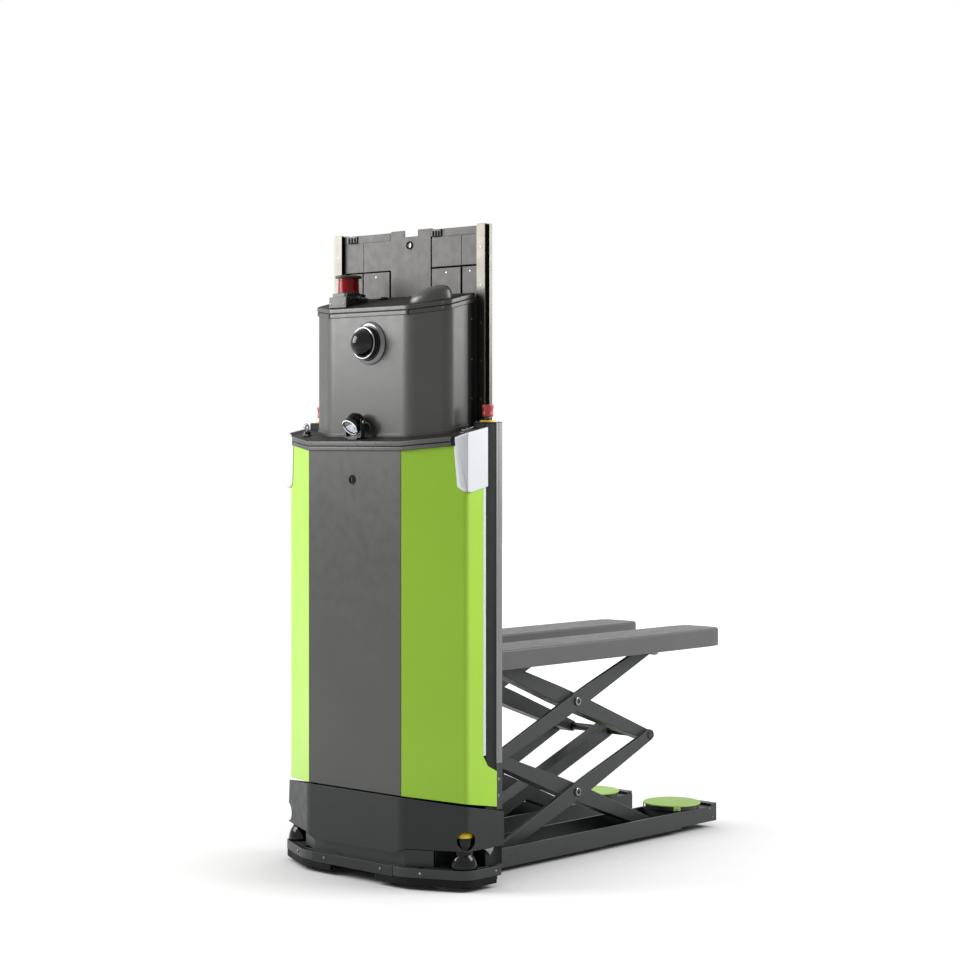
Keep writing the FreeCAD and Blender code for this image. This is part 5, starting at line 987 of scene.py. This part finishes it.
for y0, y1 in ((COLUMN_LEFT, EDGE_LEFT), (EDGE_RIGHT, COLUMN_RIGHT)):
    seams.box((BACK_X - 0.7, y0, BREAK_Z - 2.3), (BACK_X + 0.4, y1, BREAK_Z + 2.3))
seams.show("backrest_seam_shade", GAP_SHADE, "carriage", "black_plastic")
ribs = Shape()
for y0, y1 in ((240.0, 288.0), (-143.0, -100.0)):
    for share in (0.12, 0.4, 0.68):
        y = y0 + (y1 - y0) * share
        ribs.box((BACK_X - 7.5, y, WING_Z + 2.0), (BACK_X - 2.0, y + 6.0, CROWN_Z - 6.0))
ribs.show("backrest_clip_ribs", RUBBER, "carriage", "black_plastic", bevel=0.7)
RAIL_X, RAIL_IN, RAIL_OUT, RAIL_LOW_Z, RAIL_HIGH_Z = 238.0, 305.0, 341.0, 602.0, 2060.0
# Thin near-black sheets in the gaps beside each rail: painted shade.
channels = Shape()
for y0, y1, x1 in ((RAIL_IN - 0.5, RAIL_IN + 0.5, 250.0), (RAIL_OUT - 0.5, RAIL_OUT + 0.5, 259.0)):
    channels.box((RAIL_X + 1.5, y0, RAIL_LOW_Z), (x1, y1, RAIL_HIGH_Z))
channels.mirror().show("rail_gap_shade", GAP_SHADE, "carriage", "black_plastic")
screws = Shape()
for z in range(680, 2040, 119):
    screws.screw((RAIL_X, (RAIL_IN + RAIL_OUT) / 2.0, float(z)), AHEAD, 3.2, 0.6, "disc")
screws.mirror().show("rail_screws", STEEL, "carriage", "bare_steel")
dots = Shape()
for y in (152.0, -166.0, -269.0):
    dots.screw((face, y, 1917.0), AHEAD, 2.6, 0.8, "disc")
dots.show("backrest_rivets", CHROME, "carriage", "chrome_trim")
LIFT_HOLE_Z = 2013.0
# A near-black ring round the lift hole: painted shade at its edge.
Shape().ring((face, 0.0, LIFT_HOLE_Z), AHEAD, [(9.9, -2.2), (13.0, -2.2), (13.0, 0.6), (9.9, 0.6)], 40).show(
    "lift_hole_shade_ring", GAP_SHADE, "carriage", "black_plastic")


# Floor, daylight and lamps

def white_rays(nodes, links):
    """One for what the camera, a mirror or a glass sees, and zero for the light that falls on things."""
    path = nodes.new("ShaderNodeLightPath")
    total = path.outputs["Is Camera Ray"]
    for key in ("Is Glossy Ray", "Is Transmission Ray"):
        most = nodes.new("ShaderNodeMath")
        most.operation = "MAXIMUM"
        links.new(total, most.inputs[0])
        links.new(path.outputs[key], most.inputs[1])
        total = most.outputs["Value"]
    return total


def scaled(nodes, links, value, low, high):
    spread = nodes.new("ShaderNodeMapRange")
    links.new(value, spread.inputs["Value"])
    spread.inputs["To Min"].default_value = low
    spread.inputs["To Max"].default_value = high
    return spread.outputs["Result"]


FLOOR_HALF = 16.0
FLOOR_TONE, GLOW_NEAR, GLOW_FAR = 0.5, 0.45, 1.0
GLOW_FROM, GLOW_TO = 1.2, 4.0
SHADE_REACH, SHADE_POWER = 0.6, 2.0
sheet = bmesh.new()
bmesh.ops.create_grid(sheet, x_segments=1, y_segments=1, size=FLOOR_HALF)
floor_mesh = bpy.data.meshes.new("studio_floor")
sheet.to_mesh(floor_mesh)
sheet.free()
floor = bpy.data.objects.new("studio_floor", floor_mesh)
bpy.context.collection.objects.link(floor)
paint = bpy.data.materials.new("studio_floor")
paint.use_nodes = True
nodes, links = paint.node_tree.nodes, paint.node_tree.links
shader = nodes["Principled BSDF"]
shader.inputs["Base Color"].default_value = (FLOOR_TONE, FLOOR_TONE, FLOOR_TONE, 1.0)
shader.inputs["Roughness"].default_value = 0.9
shader.inputs["Emission Color"].default_value = (1.0, 1.0, 1.0, 1.0)
place = nodes.new("ShaderNodeTexCoord")
reach = nodes.new("ShaderNodeVectorMath")
reach.operation = "LENGTH"
links.new(place.outputs["Object"], reach.inputs[0])
# Emission for camera, mirror and glass rays is lower near the robot and cut by ambient occlusion next to it: a
# painted shadow round the robot, on top of the lamps' real shadow.
glow = nodes.new("ShaderNodeMapRange")
glow.interpolation_type = "SMOOTHSTEP"
links.new(reach.outputs["Value"], glow.inputs["Value"])
for key, number in zip(RANGE_KEYS, (GLOW_FROM, GLOW_TO, GLOW_NEAR, GLOW_FAR)):
    glow.inputs[key].default_value = number
shade = nodes.new("ShaderNodeAmbientOcclusion")
shade.samples = 12
shade.inputs["Distance"].default_value = SHADE_REACH
painted_contact_shadow = nodes.new("ShaderNodeMath")
painted_contact_shadow.operation = "POWER"
painted_contact_shadow.inputs[1].default_value = SHADE_POWER
links.new(shade.outputs["AO"], painted_contact_shadow.inputs[0])
strength = white_rays(nodes, links)
for factor in (glow.outputs["Result"], painted_contact_shadow.outputs["Value"]):
    product = nodes.new("ShaderNodeMath")
    product.operation = "MULTIPLY"
    links.new(strength, product.inputs[0])
    links.new(factor, product.inputs[1])
    strength = product.outputs["Value"]
links.new(strength, shader.inputs["Emission Strength"])
floor_mesh.materials.append(paint)

DAYLIGHT = 0.37
world = bpy.data.worlds.new("studio")
world.use_nodes = True
nodes, links = world.node_tree.nodes, world.node_tree.links
sky = nodes["Background"]
sky.inputs["Color"].default_value = (1.0, 1.0, 1.0, 1.0)
links.new(scaled(nodes, links, white_rays(nodes, links), DAYLIGHT, 1.0), sky.inputs["Strength"])
bpy.context.scene.world = world
bpy.context.scene.view_settings.view_transform = "Standard"

TARGET = Vector((-0.55, 0.0, 0.9))


def lamp(name, azimuth, height, distance, size, power):
    """A square soft light round the robot, its azimuth counted from the rear towards +Y."""
    turn = math.radians(azimuth)
    light = bpy.data.lights.new(name, "AREA")
    light.shape = "SQUARE"
    light.size = size
    light.energy = power
    holder = bpy.data.objects.new(name, light)
    away = Vector((math.cos(turn), math.sin(turn), 0.0)) * distance
    holder.location = TARGET + away + Vector((0.0, 0.0, height - TARGET.z))
    holder.rotation_euler = (holder.location - TARGET).to_track_quat("Z", "Y").to_euler()
    bpy.context.collection.objects.link(holder)


lamp("front_left", 131.0, 2.9, 3.8, 2.5, 234.0)
lamp("right_side", -54.0, 2.8, 3.8, 2.2, 168.0)
